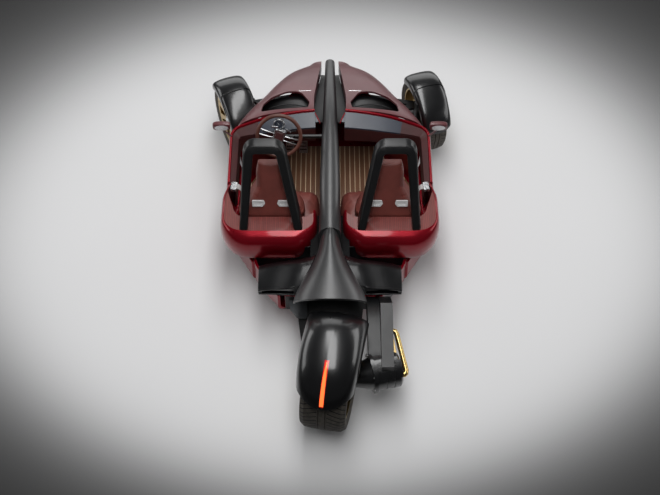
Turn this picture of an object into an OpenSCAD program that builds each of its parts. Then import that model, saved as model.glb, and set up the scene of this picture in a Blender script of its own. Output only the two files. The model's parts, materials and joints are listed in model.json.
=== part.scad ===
// Open two-seat three-wheeler: two steered front wheels, one steered and driven rear wheel.
// +Y is forward, +X is the right-hand side, the origin is on the ground under the middle.

/* [Running gear] */
// Distance from the front axle to the rear axle
wheelbase = 2600; // [2500:10:2700]
// Front axle ahead of the origin
front_axle_y = 1275; // [1240:5:1310]
// Front wheel centre from the middle plane
half_track = 790; // [780:1:820]
// Front steering pivot from the middle plane
kingpin_x = 706; // [700:1:712]
// Outer radius of the front tyre
front_tyre_r = 310; // [300:1:318]
// Width of the front tyre
front_tyre_w = 190; // [170:1:200]
// Radius of the front rim under the tyre bead
front_rim_r = 232; // [225:1:240]
// Outer radius of the rear tyre
rear_tyre_r = 330; // [320:1:340]
// Width of the rear tyre
rear_tyre_w = 320; // [290:1:330]
// Radius of the rear rim under the tyre bead
rear_rim_r = 236; // [228:1:244]
// Left front wheel turned to the left as parked
left_steer = 22; // [18:1:24]
// Right front wheel turned to the left as parked
right_steer = 18; // [14:1:20]
// Rear wheel turned the other way as parked
rear_steer = 10.5; // [8:0.5:12]

/* [Body] */
// Foremost point of the hood
nose_y = 1660; // [1640:1:1675]
// Rear edge of the hood beside the spine
cowl_y = 820; // [800:1:840]
// Half width of the hood at its rear corners
hood_half_w = 750; // [735:1:760]
// Height of the hood ridge at the cowl
cowl_z = 835; // [815:1:845]
// Thickness of the moulded body skins
skin = 20; // [14:1:24]
// Underside of the body above the ground
belly_z = 150; // [130:1:170]
// Half width of the body at the rear quarters
quarter_half_w = 812; // [800:1:825]
// Rearmost face of the rear quarters
quarter_back_y = -334; // [-345:1:-325]
// Height of the rear quarter rim
quarter_z = 660; // [645:1:675]

/* [Cockpit] */
// Thickness of the floor boards
floor_t = 18; // [12:1:20]
// Diameter of the steering wheel
wheel_d = 360; // [340:1:370]
// Height of the roll hoops
hoop_top_z = 1190; // [1150:1:1220]
// Steering wheel turned clockwise from upright as parked
wheel_turn = 18; // [0:1:30]

/* [Spine and tail] */
// Half width of the spine over the cockpit
spine_half_w = 54; // [50:1:58]
// Height of the spine over the cockpit
spine_z = 800; // [780:1:815]
// Seam between the spine and the tail cowl
tail_seam_y = -309; // [-320:1:-300]
// Rear edge of the tail cowl on its ridge
tail_end_y = -915; // [-925:1:-900]
// Half width of the tail cowl at its rear edge
tail_half_w = 262; // [250:1:275]
// Half span of the tail wings
wing_half_w = 520; // [500:1:540]

/* [Rear module] */
// Outer radius of the rear fender
rear_fender_r = 408; // [402:1:415]
// Width of the rear fender
rear_fender_w = 424; // [415:1:432]
// Radius of the drive motor can
motor_r = 128; // [115:1:135]
// Length of the drive motor can
motor_len = 205; // [180:1:220]

/* [Hidden] */
$fn = 64;
// Overrun of every cut past the face it opens
over = 5;
// Rounds of a search for a place on a surface
search_tries = 4;
// Running clearance between separate pieces
gap = 0.3;
rear_axle_y = front_axle_y - wheelbase;

// Smooth curve through equally spaced values, t from 0 to 1
function curve(v, t) =
    let (
        n = len(v) - 1,
        s = min(max(t, 0), 1) * n,
        i = min(floor(s), n - 1),
        f = s - i,
        a = v[max(i - 1, 0)],
        b = v[i],
        c = v[i + 1],
        d = v[min(i + 2, n)]
    )
    (2 * b + (c - a) * f + (2 * a - 5 * b + 4 * c - d) * f * f + (3 * b - a - 3 * c + d) * f * f * f) / 2;

// Value between two ends
function mix(a, b, t) = a + (b - a) * t;

// Shares from 0 to 1 in equal steps
function steps(n) = [for (i = [0:n]) i / n];

// Faces of a grid of rows by columns whose first point has the given index
function grid_faces(rows, cols, first) = [
    for (i = [0:rows - 2], j = [0:cols - 2])
        let (p = first + i * cols + j)
        [p, p + 1, p + cols + 1, p + cols]
];

function turned_over(f) = [for (k = [len(f) - 1:-1:0]) f[k]];

// Triangles of four-sided faces, turned over where asked
function triangles(faces, flip) = [
    for (f = faces)
        let (q = flip ? turned_over(f) : f)
        each (len(q) == 3 ? [q] : [[q[0], q[1], q[2]], [q[0], q[2], q[3]]])
];

// Closed skin between an outer and an inner grid of points; flip turns its faces over
module skin_between(outer, inner, flip = false) {
    rows = len(outer);
    cols = len(outer[0]);
    m = rows * cols;
    last = m - cols;
    rims = concat(
        [for (i = [0:rows - 2]) let (p = i * cols) [p, p + cols, m + p + cols, m + p]],
        [for (i = [0:rows - 2]) let (p = i * cols + cols - 1) [p + cols, p, m + p, m + p + cols]],
        [for (j = [0:cols - 2]) [j + 1, j, m + j, m + j + 1]],
        [for (j = [0:cols - 2]) let (p = last + j) [p, p + 1, m + p + 1, m + p]]
    );
    inside = [for (f = grid_faces(rows, cols, m)) turned_over(f)];
    polyhedron(
        concat([for (r = outer) each r], [for (r = inner) each r]),
        triangles(concat(grid_faces(rows, cols, 0), inside, rims), flip)
    );
}

// Middle of a ring of points
function ring_middle(ring) = [for (k = [0:2]) [for (p = ring) p[k]] * [for (p = ring) 1] / len(ring)];

// Closed solid through rings of points with the same count
module loft(rings, flip = false) {
    n = len(rings[0]);
    m = len(rings);
    sides = [
        for (i = [0:m - 2], j = [0:n - 1])
            let (k = (j + 1) % n)
            [i * n + j, i * n + k, (i + 1) * n + k, (i + 1) * n + j]
    ];
    ends = [
        for (j = [0:n - 1])
            let (k = (j + 1) % n, z = (m - 1) * n)
            each [[k, j, m * n], [z + j, z + k, m * n + 1]]
    ];
    polyhedron(
        concat([for (r = rings) each r], [ring_middle(rings[0]), ring_middle(rings[m - 1])]),
        triangles(concat(sides, ends), flip)
    );
}

// Draws a right-hand piece on both sides
module both_sides() {
    children();
    mirror([1, 0, 0]) children();
}

// Draws a right-hand piece on one side, 1 right and -1 left
module on_side(side) {
    mirror([side < 0 ? 1 : 0, 0, 0]) children();
}

// Shorter turn from one direction to another
function turn_between(a, b) = b - a > 180 ? b - a - 360 : b - a < -180 ? b - a + 360 : b - a;

// Unit vector of a plan vector
function unit(v) = v / norm(v);

// Points of a plan path whose corners, each x, y and radius, are rounded by arcs
function rounded_path(corners, arc_steps = 8) = [
    for (i = [0:len(corners) - 1])
        let (p = [corners[i][0], corners[i][1]])
        each (i == 0 || i == len(corners) - 1 ? [p] :
            let (
                a = unit([corners[i - 1][0], corners[i - 1][1]] - p),
                b = unit([corners[i + 1][0], corners[i + 1][1]] - p),
                half = acos(a * b) / 2,
                reach = corners[i][2] / tan(half),
                middle = p + unit(a + b) * corners[i][2] / sin(half),
                from = p + a * reach - middle,
                to = p + b * reach - middle,
                start = atan2(from[1], from[0]),
                turn = turn_between(start, atan2(to[1], to[0]))
            )
            [for (t = steps(arc_steps))
                middle + corners[i][2] * [cos(start + turn * t), sin(start + turn * t)]])
];

// Left-hand normals along a plan path
function path_normals(path) = [
    for (i = [0:len(path) - 1])
        let (d = unit(path[min(i + 1, len(path) - 1)] - path[max(i - 1, 0)]))
        [-d[1], d[0]]
];

// Hood: each half is a crowned skin from the nose to the cowl, with a flange beside the spine

// Shares from the nose back to the cowl in equal steps
hood_outer_shares = [0.16, 0.42, 0.56, 0.685, 0.84, 0.965];
hood_inner_shares = [0.095, 0.11, 0.13, 0.15, 0.168, 0.165];
hood_ridge_shares = [0.655, 0.745, 0.83, 0.90, 0.96, 1];
hood_edge_shares = [0.60, 0.60, 0.62, 0.665, 0.73, 0.80];
// How far the rear corners of the hood sweep back
hood_sweep = 100;
// Drop of the hood's outer lip and of its flange beside the spine
hood_lip = 32;
hood_flange = 110;
hood_crown_share = 0.85;
hood_stations = 14;
hood_columns = 10;
// Plan corners of the air outlet ahead of the cowl: share of the half width, share of the hood length
vent_shares = [
    [0.25, 0.06], [0.235, 0.12], [0.34, 0.27], [0.44, 0.27], [0.58, 0.215], [0.66, 0.12], [0.68, 0.02]
];

function hood_x(t, shares) = hood_half_w * curve(shares, t);
function hood_z(t, shares) = cowl_z * curve(shares, t);

// A point on the hood set in by a depth, at share t along it and angle a over its crown
function hood_crown(t, a, depth) =
    let (
        x0 = hood_x(t, hood_inner_shares) + depth,
        x1 = hood_x(t, hood_outer_shares) - depth,
        z0 = hood_z(t, hood_ridge_shares) - depth,
        z1 = hood_z(t, hood_edge_shares)
    )
    [mix(x0, x1, pow(sin(a), hood_crown_share)), mix(z1, z0, pow(cos(a), hood_crown_share))];

// One section of the hood, from the flange over the crown to the outer lip
function hood_row(t, depth) =
    let (
        crown = [for (s = steps(hood_columns)) hood_crown(t, 90 * s, depth)],
        first = crown[0],
        last = crown[hood_columns],
        flat = concat([[first[0], first[1] - hood_flange]], crown, [[last[0], last[1] - hood_lip]])
    )
    [for (p = flat) [p[0], mix(nose_y, cowl_y, t) - hood_sweep * t * pow(p[0] / hood_half_w, 2), p[1]]];

module hood(side) {
    color("#6d2a35")
    on_side(side)
    difference() {
        skin_between(
            [for (t = steps(hood_stations)) hood_row(t, 0)],
            [for (t = steps(hood_stations)) hood_row(t, skin)]
        );
        translate([0, 0, cowl_z * hood_edge_shares[0]])
        linear_extrude(cowl_z)
        polygon([for (p = vent_shares) [hood_half_w * p[0], mix(cowl_y, nose_y, p[1])]]);
    }
}

// Tub: the moulded floor and sides that everything is fastened to

tub_setback = 25;
tub_nose_y = nose_y - tub_setback;
tub_back = 30;
tub_back_y = quarter_back_y + tub_back;
// Half width, side height and nose rise, from the nose back in equal steps
tub_w_shares = [0.15, 0.30, 0.425, 0.525, 0.66, 0.85, 0.885, 0.895, 0.905, 0.862, 0.72];
tub_top_shares = [0.50, 0.61, 0.66, 0.70, 0.74, 0.46, 0.44, 0.44, 0.44, 0.43, 0.43];
tub_rise_shares = [1, 0.35, 0.08, 0, 0, 0, 0, 0, 0, 0, 0];
// Rise of the belly at the nose
tub_rise = 150;
tub_corner_share = 0.6;
tub_corner = 32;
tub_stations = 20;

function tub_t(y) = (tub_nose_y - y) / (tub_nose_y - tub_back_y);
function tub_w(t) = quarter_half_w * curve(tub_w_shares, t);
// Half width of the tub's straight facets at a place along it
function tub_w_at(y) =
    let (s = tub_t(y) * tub_stations, i = min(floor(s), tub_stations - 1))
    mix(tub_w(i / tub_stations), tub_w((i + 1) / tub_stations), s - i);
function tub_bottom(t) = belly_z + tub_rise * curve(tub_rise_shares, t);

// Right half of one tub section, from the top of the side to the middle of the belly
function tub_half(t, depth) =
    let (
        w = tub_w(t) - depth,
        z = tub_bottom(t) + depth,
        c = min(tub_corner, w * tub_corner_share),
        s = c * (1 - cos(45))
    )
    [[w, cowl_z * curve(tub_top_shares, t)], [w, z + c], [w - s, z + s], [w - c, z], [0, z]];

function tub_row(t, depth) =
    let (half = tub_half(t, depth), y = mix(tub_nose_y, tub_back_y, t))
    concat(
        [for (p = half) [p[0], y, p[1]]],
        [for (i = [len(half) - 2:-1:0]) [-half[i][0], y, half[i][1]]]
    );

module tub() {
    color("#3a1a1e")
    skin_between(
        [for (t = steps(tub_stations)) tub_row(t, 0)],
        [for (t = steps(tub_stations)) tub_row(t, skin)]
    );
}

// Spine: the closed beam along the middle, from the nose to the tail seam

spine_setback = 8;
spine_nose_y = nose_y - spine_setback;
spine_lift = 0.6;
spine_w_shares = [0.80, 0.86, 0.94, 0.98, 1, 1, 1.04, 1.10, 1.20, 1.5];
spine_z_shares = [0.672, 0.79, 0.885, 0.955, 0.99, 1, 0.998, 0.99, 0.978, 0.965];
spine_columns = 8;

function spine_w(t) = spine_half_w * curve(spine_w_shares, t);
function spine_top(t) = spine_z * curve(spine_z_shares, t);

// The spine has its stations where the tub has its own
spine_y = concat(
    [spine_nose_y],
    [for (s = steps(tub_stations)) mix(tub_nose_y, tub_back_y, s)],
    [tail_seam_y]
);

function spine_t(y) = (spine_nose_y - y) / (spine_nose_y - tail_seam_y);

function spine_ring(y) =
    let (
        t = spine_t(y),
        w = spine_w(t),
        top = spine_top(t),
        low = tub_bottom(max(tub_t(y), 0)) + skin + spine_lift
    )
    concat(
        [[-w, y, low], [w, y, low]],
        [for (s = steps(spine_columns)) [w * cos(180 * s), y, top - w + w * sin(180 * s)]]
    );

// Threaded socket of the towing eye, in the nose
tow_r = 8;
tow_len = 45;
tow_z = 400;

module spine_beam() {
    color("#2b2c30")
    difference() {
        loft([for (y = spine_y) spine_ring(y)], true);
        translate([0, spine_nose_y + over, tow_z])
        rotate([90, 0, 0])
        cylinder(h = tow_len + over, r = tow_r);
    }
}

// Tail cowl: the arched cover that flares from the spine to over the rear wheel

tail_w_shares = [0.31, 0.40, 0.57, 0.77, 0.92, 1];
// Height of the ridge and of the lower edge, as shares of the spine height
tail_ridge_shares = [0.965, 0.958, 0.952, 0.945, 0.94, 0.935];
tail_low_shares = [0.56, 0.56, 0.57, 0.60, 0.65, 0.70];
tail_crown_share = 0.8;
// How far the ridge reaches back past the lower edge
tail_lean = 90;
tail_stations = 12;
tail_columns = 16;

// Share along the cowl at which its lower edge has the given y
function tail_foot_t(y) = (tail_seam_y - y) / (tail_seam_y - tail_end_y - tail_lean);
function tail_w(t) = tail_half_w * curve(tail_w_shares, t);
function tail_low(t) = spine_z * curve(tail_low_shares, t);

function tail_row(t, depth) =
    let (
        w = tail_w(t) - depth,
        low = tail_low(t),
        high = spine_z * curve(tail_ridge_shares, t) - depth
    )
    [for (s = steps(tail_columns))
        let (
            a = 180 * s - 90,
            lift = pow(cos(a), tail_crown_share),
            y = mix(tail_seam_y - gap, tail_end_y, t) + tail_lean * t * (1 - lift)
        )
        [w * sin(a), y, mix(low, high, lift)]];

module tail_cowl() {
    color("#26272b")
    skin_between(
        [for (t = steps(tail_stations)) tail_row(t, 0)],
        [for (t = steps(tail_stations)) tail_row(t, skin)]
    );
}

// Tail wings: flat ducts that sweep up into the flanks of the tail cowl, open to the rear

// Outline of a wing section: share of its chord from the front, share of its height
wing_shares = [
    [0, 0.4], [0.04, 0.72], [0.12, 0.9], [0.25, 1], [0.4, 0.99], [0.55, 0.93], [0.7, 0.85], [0.85, 0.74],
    [1, 0.6], [1, 0.06], [0.85, 0.02], [0.7, 0], [0.5, 0], [0.3, 0.03], [0.12, 0.12]
];
wing_front_y = -372;
wing_chord = 270;
wing_low_z = 402;
wing_h = 135;
// Chord left at the tip, and height from the root to the tip in equal steps
wing_tip_chord_share = 0.82;
wing_h_shares = [1.55, 1.2, 1.04, 0.97, 0.9, 0.78, 0.6];
wing_sweep = 34;
wing_seat = 4.1;
wing_stations = 9;
// Rear slot of a wing
slot_h = 36;
slot_depth = 90;
slot_margin = 26;

// Half width of the tail cowl at a place along it and a height on its flank
function tail_flank(y, z, t, tries) =
    let (
        low = tail_low(t),
        high = spine_z * curve(tail_ridge_shares, t),
        lift = min(max((z - low) / (high - low), 0), 1),
        next = (tail_seam_y - y) / (tail_seam_y - tail_end_y - tail_lean * (1 - lift))
    )
    tries > 0 ? tail_flank(y, z, next, tries - 1) : tail_w(t) * sqrt(1 - pow(lift, 2 / tail_crown_share));

function wing_ring(s) = [
    for (p = wing_shares)
        let (
            y = wing_front_y - wing_sweep * s - wing_chord * mix(1, wing_tip_chord_share, s) * p[0],
            z = wing_low_z + wing_h * curve(wing_h_shares, s) * p[1],
            root = tail_flank(y, z, tail_foot_t(y), search_tries) + wing_seat
        )
        [mix(root, wing_half_w, s), y, z]
];

module tail_wing() {
    difference() {
        loft([for (s = steps(wing_stations)) wing_ring(s)], true);
        translate([
            tail_half_w,
            wing_front_y - wing_chord - wing_sweep - over,
            wing_low_z + slot_margin / 2
        ])
        cube([wing_half_w - tail_half_w - slot_margin, slot_depth, slot_h]);
    }
}

module tail_wings() {
    color("#202126")
    both_sides()
    tail_wing();
}

// Tail tray: the red lower body under the tail, closed by a bulkhead

tray_end_y = -645;
tray_w_shares = [0.97, 0.92, 0.83, 0.73, 0.65];
tray_rise = 85;
tray_gap = 6;
tray_top_z = wing_low_z - tray_gap;
tray_stations = 8;
tray_bulkhead = 24;

function tray_w(t) = tub_w(1) * curve(tray_w_shares, t);

function tray_row(t, depth) =
    let (
        w = tray_w(t) - depth,
        z = belly_z + tray_rise * t * t + depth,
        c = tub_corner,
        s = c * (1 - cos(45)),
        half = [[w, tray_top_z], [w, z + c], [w - s, z + s], [w - c, z], [0, z]],
        y = mix(tub_back_y - gap, tray_end_y, t)
    )
    concat(
        [for (p = half) [p[0], y, p[1]]],
        [for (i = [len(half) - 2:-1:0]) [-half[i][0], y, half[i][1]]]
    );

module tail_tray() {
    color("#7a1420")
    skin_between(
        [for (t = steps(tray_stations)) tray_row(t, 0)],
        [for (t = steps(tray_stations)) tray_row(t, skin)]
    );
    // The bulkhead stands just inside the open end
    w = tray_w(1) - skin - tub_corner;
    z = belly_z + tray_rise + skin + gap;
    color("#7a1420")
    translate([-w, tray_end_y, z])
    cube([2 * w, tray_bulkhead, tray_top_z - z]);
}

// Battery: one plain block low in the tail

battery_w = 460;
battery_len = 250;
battery_h = 150;

module battery() {
    back_y = tub_back_y - slot_margin - battery_len;
    rise = tray_rise * pow((tub_back_y - back_y) / (tub_back_y - tray_end_y), 2);
    color("#45484d")
    translate([-battery_w / 2, back_y, belly_z + rise + skin + gap])
    cube([battery_w, battery_len, battery_h]);
}

// Cockpit rims: the thin raised band around each cockpit, across the cowl and along the side

rim_w = 24;
rim_h = 40;
rim_in_x = 118;
// Width share where the cowl turns into the side, the side's own width share and the corner radius
rim_turn_share = 0.80;
rim_side_share = 0.94;
rim_corner = 85;
rim_end_y = 216;
rim_seat = 1.2;
// Height of the rim from the spine to its rear end in equal steps, as shares of the cowl height
rim_z_shares = [1, 0.98, 0.95, 0.897, 0.841, 0.805, 0.782];
// Section of the rim: share of its width outward, share of its height
rim_profile_shares = [[-0.5, -0.6], [0.5, -0.6], [0.5, 0.1], [0.25, 0.4], [-0.25, 0.4], [-0.5, 0.1]];
rim_low = rim_h * rim_profile_shares[0][1];
rim_high = rim_h * rim_profile_shares[3][1];
rim_front_steps = 6;

function cowl_edge_y(x) = cowl_y - hood_sweep * pow(x / hood_half_w, 2) - rim_w / 2 - rim_seat;

rim_side_x = quarter_half_w * rim_side_share;
rim_path = concat(
    [for (s = steps(rim_front_steps))
        let (x = mix(rim_in_x, quarter_half_w * rim_turn_share, s))
        [x, cowl_edge_y(x)]],
    [for (p = rounded_path([
            [quarter_half_w * rim_turn_share, cowl_edge_y(quarter_half_w * rim_turn_share)],
            [rim_side_x, cowl_edge_y(rim_side_x), rim_corner],
            [rim_side_x, (rim_end_y + cowl_y) / 2, rim_corner],
            [rim_side_x, rim_end_y]
        ], 5)) if (p[0] > quarter_half_w * rim_turn_share + over) p]
);
rim_normals = path_normals(rim_path);
rim_last = len(rim_path) - 1;

function path_run(path, i) = i == 0 ? 0 : path_run(path, i - 1) + norm(path[i] - path[i - 1]);
function rim_share(i) = path_run(rim_path, i) / path_run(rim_path, rim_last);
function rim_z(i) = cowl_z * curve(rim_z_shares, rim_share(i));

// A ring square to the rim path, from pairs of outward offset and height
function rim_ring(i, pairs) = [
    for (p = pairs)
        let (q = rim_path[i] + rim_normals[i] * p[0])
        [q[0], q[1], p[1]]
];

module cockpit_rims() {
    color("#8e1420")
    both_sides()
    loft([
        for (i = [0:rim_last])
            rim_ring(i, [for (p = rim_profile_shares) [rim_w * p[0], rim_z(i) + rim_h * p[1]]])
    ], true);
}

// Dash panels: the gloss band inside each rim, broad beside the spine and narrow along the side

dash_w = 104;
dash_t = 14;
dash_fall_share = 0.62;
// Width of the band from the spine to its rear end in equal steps, as shares of its width
dash_w_shares = [1, 0.95, 0.84, 0.58, 0.40, 0.38, 0.36];

function dash_reach(i) = dash_w * curve(dash_w_shares, rim_share(i));
function dash_edge_z(i) = rim_z(i) - dash_reach(i) * dash_fall_share;

module dash_panels() {
    in = -rim_w / 2 - gap;
    color("#262b38")
    both_sides()
    loft([
        for (i = [0:rim_last])
            let (reach = in - dash_reach(i), z = rim_z(i), low = dash_edge_z(i))
            rim_ring(i, [[in, z], [reach, low], [reach, low - dash_t], [in, z - dash_t]])
    ], true);
}

// Linings: the padded skirt under the inner edge of the dash band, down to the tub's side

lining_t = 14;
// Lower edge from the spine to the rear end in equal steps, as shares of the cowl height
lining_low_shares = [0.745, 0.745, 0.74, 0.70, 0.57, 0.49, 0.48];

module linings() {
    color("#4a2020")
    both_sides()
    loft([
        for (i = [0:rim_last])
            let (
                out = -rim_w / 2 - gap - dash_reach(i) + lining_t,
                top = dash_edge_z(i) - dash_t - gap,
                low = cowl_z * curve(lining_low_shares, rim_share(i))
            )
            rim_ring(i, [[out, top], [out - lining_t, top], [out - lining_t, low], [out, low]])
    ], true);
}

// Side panels: the skin under the rim, the skin under the hood's rear corner, and the wheel well's wall

side_bulge = 26;
// The panel's foot stands a little off the straight facets of the tub
side_off = 0.3;
side_low = 55;
side_turn_y = cowl_edge_y(rim_side_x) - rim_corner;
// Share of the rim's corner radius that the skin follows round
side_round_share = 0.85;
side_front_y = side_turn_y + rim_corner * side_round_share;
side_end_y = 900;
// Rows of the skins within each facet of the tub
side_rows = 3;
side_drop = 1.2;
side_columns = 7;
well_t = 8;

// Place of the rim's outer edge at a place along the side
function side_top_x(y) =
    let (r = rim_corner + rim_w / 2, d = max(y - side_turn_y, 0))
    rim_side_x - rim_corner + sqrt(r * r - d * d);

// Height of the rim at a place along the side
function side_top_z(y) =
    let (
        near = [for (i = [0:rim_last - 1]) if (rim_path[i][1] >= y && rim_path[i + 1][1] <= y) i][0],
        f = (rim_path[near][1] - y) / (rim_path[near][1] - rim_path[near + 1][1])
    )
    mix(rim_z(near), rim_z(near + 1), f) + rim_low - side_drop;

function side_foot_x(y) = tub_w_at(y) + skin + gap + side_off;

function side_row(y, top_x, top_z, bulge, depth) =
    [for (s = steps(side_columns))
        let (x = mix(top_x, side_foot_x(y), s * s) + bulge * sin(180 * s) - depth)
        [x, y, mix(top_z, belly_z + side_low, s)]];

// Share along the hood whose outer edge has the given y
function hood_edge_t(y, t, tries) =
    let (
        sweep = hood_sweep * t * pow(hood_x(t, hood_outer_shares) / hood_half_w, 2),
        next = (nose_y - sweep - y) / (nose_y - cowl_y)
    )
    tries > 0 ? hood_edge_t(y, next, tries - 1) : t;

function corner_row(y, depth) =
    let (
        t = min(hood_edge_t(y, 1, search_tries), 1),
        top_z = hood_z(t, hood_edge_shares) - hood_lip - side_drop
    )
    side_row(y, hood_x(t, hood_outer_shares) - skin / 4, top_z, 0, depth);

// Rows between two places, with one on every edge of the tub's facets
function rows_between(front, rear) = concat(
    [front],
    [for (s = steps(side_rows * tub_stations))
        let (y = mix(tub_nose_y, tub_back_y, s))
        if (y < front - over && y > rear + over) y],
    [rear]
);

module side_panel(side) {
    side_y = rows_between(side_front_y, rim_end_y);
    corner_y = rows_between(side_end_y, side_front_y + gap);
    color("#8e1420")
    on_side(side) {
        skin_between(
            [for (y = side_y) side_row(y, side_top_x(y), side_top_z(y), side_bulge, 0)],
            [for (y = side_y) side_row(y, side_top_x(y), side_top_z(y), side_bulge, skin)]
        );
        skin_between(
            [for (y = corner_y) corner_row(y, 0)],
            [for (y = corner_y) corner_row(y, skin)]
        );
        foot = tub_w_at(side_end_y - well_t) + gap;
        well = [for (p = corner_row(side_end_y, skin + gap)) if (p[0] > foot + over) [p[0], p[2]]];
        translate([0, side_end_y, 0])
        rotate([90, 0, 0])
        linear_extrude(well_t)
        polygon(concat(well, [[foot, well[len(well) - 1][1]], [foot, well[0][1]]]));
    }
}

// Rear quarters: the upright bowls that wrap behind the seats

quarter_front_y = rim_end_y - gap;
// Where the bowl has flared out to its full width, and the rounding there
quarter_flare_y = 95;
quarter_flare_r = 260;
quarter_in_x = 92;
quarter_in_end_y = -50;
quarter_r = 225;
quarter_in_r = 190;
quarter_low_z = 372;
// Section of the wall, outside then inside: share of its thickness outward, share of its height
quarter_shares = [
    [-3.5, 0], [-2, 0.08], [-0.7, 0.28], [0, 0.62], [0, 0.93], [-0.35, 1],
    [-1, 1], [-1, 0.65], [-1.7, 0.34], [-2.7, 0.18], [-4, 0.09]
];

// Half width of the bowl at a place ahead of its flare
function quarter_flare_x(y) =
    mix(side_top_x(rim_end_y), quarter_half_w, (quarter_front_y - y) / (quarter_front_y - quarter_flare_y));

// Plan path of the bowl, set in by a distance
function quarter_path(d, front_y, in_y) = rounded_path([
    [quarter_flare_x(front_y) - d, front_y],
    [quarter_half_w - d, quarter_flare_y, quarter_flare_r - d],
    [quarter_half_w - d, quarter_back_y + d, quarter_r - d],
    [quarter_in_x + d, quarter_back_y + d, quarter_in_r - d],
    [quarter_in_x + d, in_y]
]);

module rear_quarter(side) {
    path = quarter_path(0, quarter_front_y, quarter_in_end_y);
    normals = path_normals(path);
    color("#9a1220")
    on_side(side)
    loft([
        for (i = [0:len(path) - 1])
            [for (p = quarter_shares)
                let (q = path[i] + normals[i] * skin * p[0])
                [q[0], q[1], mix(quarter_low_z, quarter_z, p[1])]]
    ], true);
}

// Decks: the veneered boards that close the bowls behind and beside the seats

deck_t = 18;
deck_drop = 8;
deck_fit = 1.4;
deck_out_y = 150;
deck_in_y = -62;
deck_hole_back = 222;
deck_hole_r = 95;
deck_out_w = 100;
deck_in_w = 66;
deck_z = quarter_z - deck_drop;

module decks() {
    d = skin + deck_fit;
    hole_y = quarter_back_y + deck_hole_back;
    hole = rounded_path([
        [quarter_in_x + d + over, deck_in_y],
        [quarter_in_x + d + deck_in_w, hole_y, deck_hole_r / 2],
        [quarter_half_w - d - deck_out_w, hole_y, deck_hole_r],
        [quarter_flare_x(deck_out_y) - d - over, deck_out_y]
    ]);
    color("#6a3026")
    both_sides()
    translate([0, 0, deck_z - deck_t])
    linear_extrude(deck_t)
    polygon(concat(quarter_path(d, deck_out_y, deck_in_y), hole));
}

// Floor boards on the tub floor, one on each side of the spine

floor_z = belly_z + skin + gap + floor_t;
floor_front_y = 1040;
floor_back_y = -230;
floor_clear = 6;
floor_stations = 12;

module floor_boards() {
    color("#7a4a33")
    both_sides()
    translate([0, 0, floor_z - floor_t])
    linear_extrude(floor_t)
    polygon(concat(
        [for (t = steps(floor_stations))
            let (y = mix(floor_back_y, floor_front_y, t))
            [spine_w(spine_t(y)) + floor_clear, y]],
        [for (t = steps(floor_stations))
            let (y = mix(floor_front_y, floor_back_y, t))
            [tub_w_at(y) - skin - tub_corner - floor_clear, y]]
    ));
}

// Seats: a cushion on the floor and a shell back that rises into the headrest

// Middle and width of each seat, as shares of the half width of the body
seat_place_share = 0.53;
seat_w_share = 0.56;
seat_x = quarter_half_w * seat_place_share;
seat_w = quarter_half_w * seat_w_share;
cushion_front_y = 470;
cushion_back_y = 68;
cushion_h = 150;
cushion_dip = 45;
seat_gap = 0.3;

module seat_cushion(side) {
    z = floor_z + seat_gap;
    color("#6b2a26")
    on_side(side)
    translate([seat_x - seat_w / 2, 0, z])
    rotate([90, 0, 90])
    linear_extrude(seat_w)
    polygon([
        [cushion_back_y, 0],
        [cushion_front_y - cushion_dip, 0],
        [cushion_front_y, cushion_h / 2],
        [cushion_front_y - cushion_dip / 3, cushion_h - cushion_dip / 4],
        [cushion_front_y - cushion_dip, cushion_h],
        [cushion_back_y, cushion_h - cushion_dip]
    ]);
}

// Roll hoops: leaning arches behind the seats, standing on the decks

hoop_foot_half_w = 230;
hoop_top_half_w = 118;
hoop_corner = 80;
hoop_band = 62;
// Rear face of the hoop ahead of the quarter's rear at its foot and top, and its depth at both
hoop_foot_reach = 86;
hoop_top_reach = 390;
hoop_foot_depth = 130;
hoop_top_depth = 84;
// Section of the hoop: share of its band inward, share of its depth forward
hoop_shares = [[0.16, 0], [0, 0.14], [0, 0.86], [0.16, 1], [0.84, 1], [1, 0.86], [1, 0.14], [0.84, 0]];

function hoop_rear_y(z) =
    quarter_back_y + mix(hoop_foot_reach, hoop_top_reach, (z - deck_z) / (hoop_top_z - deck_z));
function hoop_front_y(z) =
    hoop_rear_y(z) + mix(hoop_foot_depth, hoop_top_depth, (z - deck_z) / (hoop_top_z - deck_z));

module hoop(side) {
    base = deck_z + gap;
    path = rounded_path([
        [-hoop_foot_half_w, base],
        [-hoop_top_half_w, hoop_top_z, hoop_corner],
        [hoop_top_half_w, hoop_top_z, hoop_corner],
        [hoop_foot_half_w, base]
    ], 6);
    normals = path_normals(path);
    last = len(path) - 1;
    color("#1c1d20")
    on_side(side)
    translate([seat_x, 0, 0])
    loft([
        for (i = [0:last])
            let (inward = i == 0 ? [1, 0] : i == last ? [-1, 0] : -normals[i])
            [for (p = hoop_shares)
                let (q = path[i] + inward * hoop_band * p[0])
                [q[0], mix(hoop_rear_y(q[1]), hoop_front_y(q[1]), p[1]), q[1]]]
    ]);
}

// Seat back, from the floor to the top of the headrest in equal steps
// Half width, as shares of the seat width
back_w_shares = [0.44, 0.47, 0.49, 0.52, 0.57, 0.58, 0.44, 0.29, 0.27, 0.21];
// Thickness at its middle, as shares of the greatest thickness
back_t_shares = [0.88, 0.9, 0.92, 0.95, 1, 0.98, 0.9, 0.82, 0.7, 0.42];
back_t = 155;
back_top_share = 0.875;
back_hoop_gap = 16;
back_rear_y = -98;
// How far the sides of the back wrap forward
back_wing_shares = [0.2, 0.3, 0.4, 0.5, 0.5, 0.4, 0.25, 0.15, 0.1, 0];
back_wing = 80;
back_stations = 18;
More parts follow.
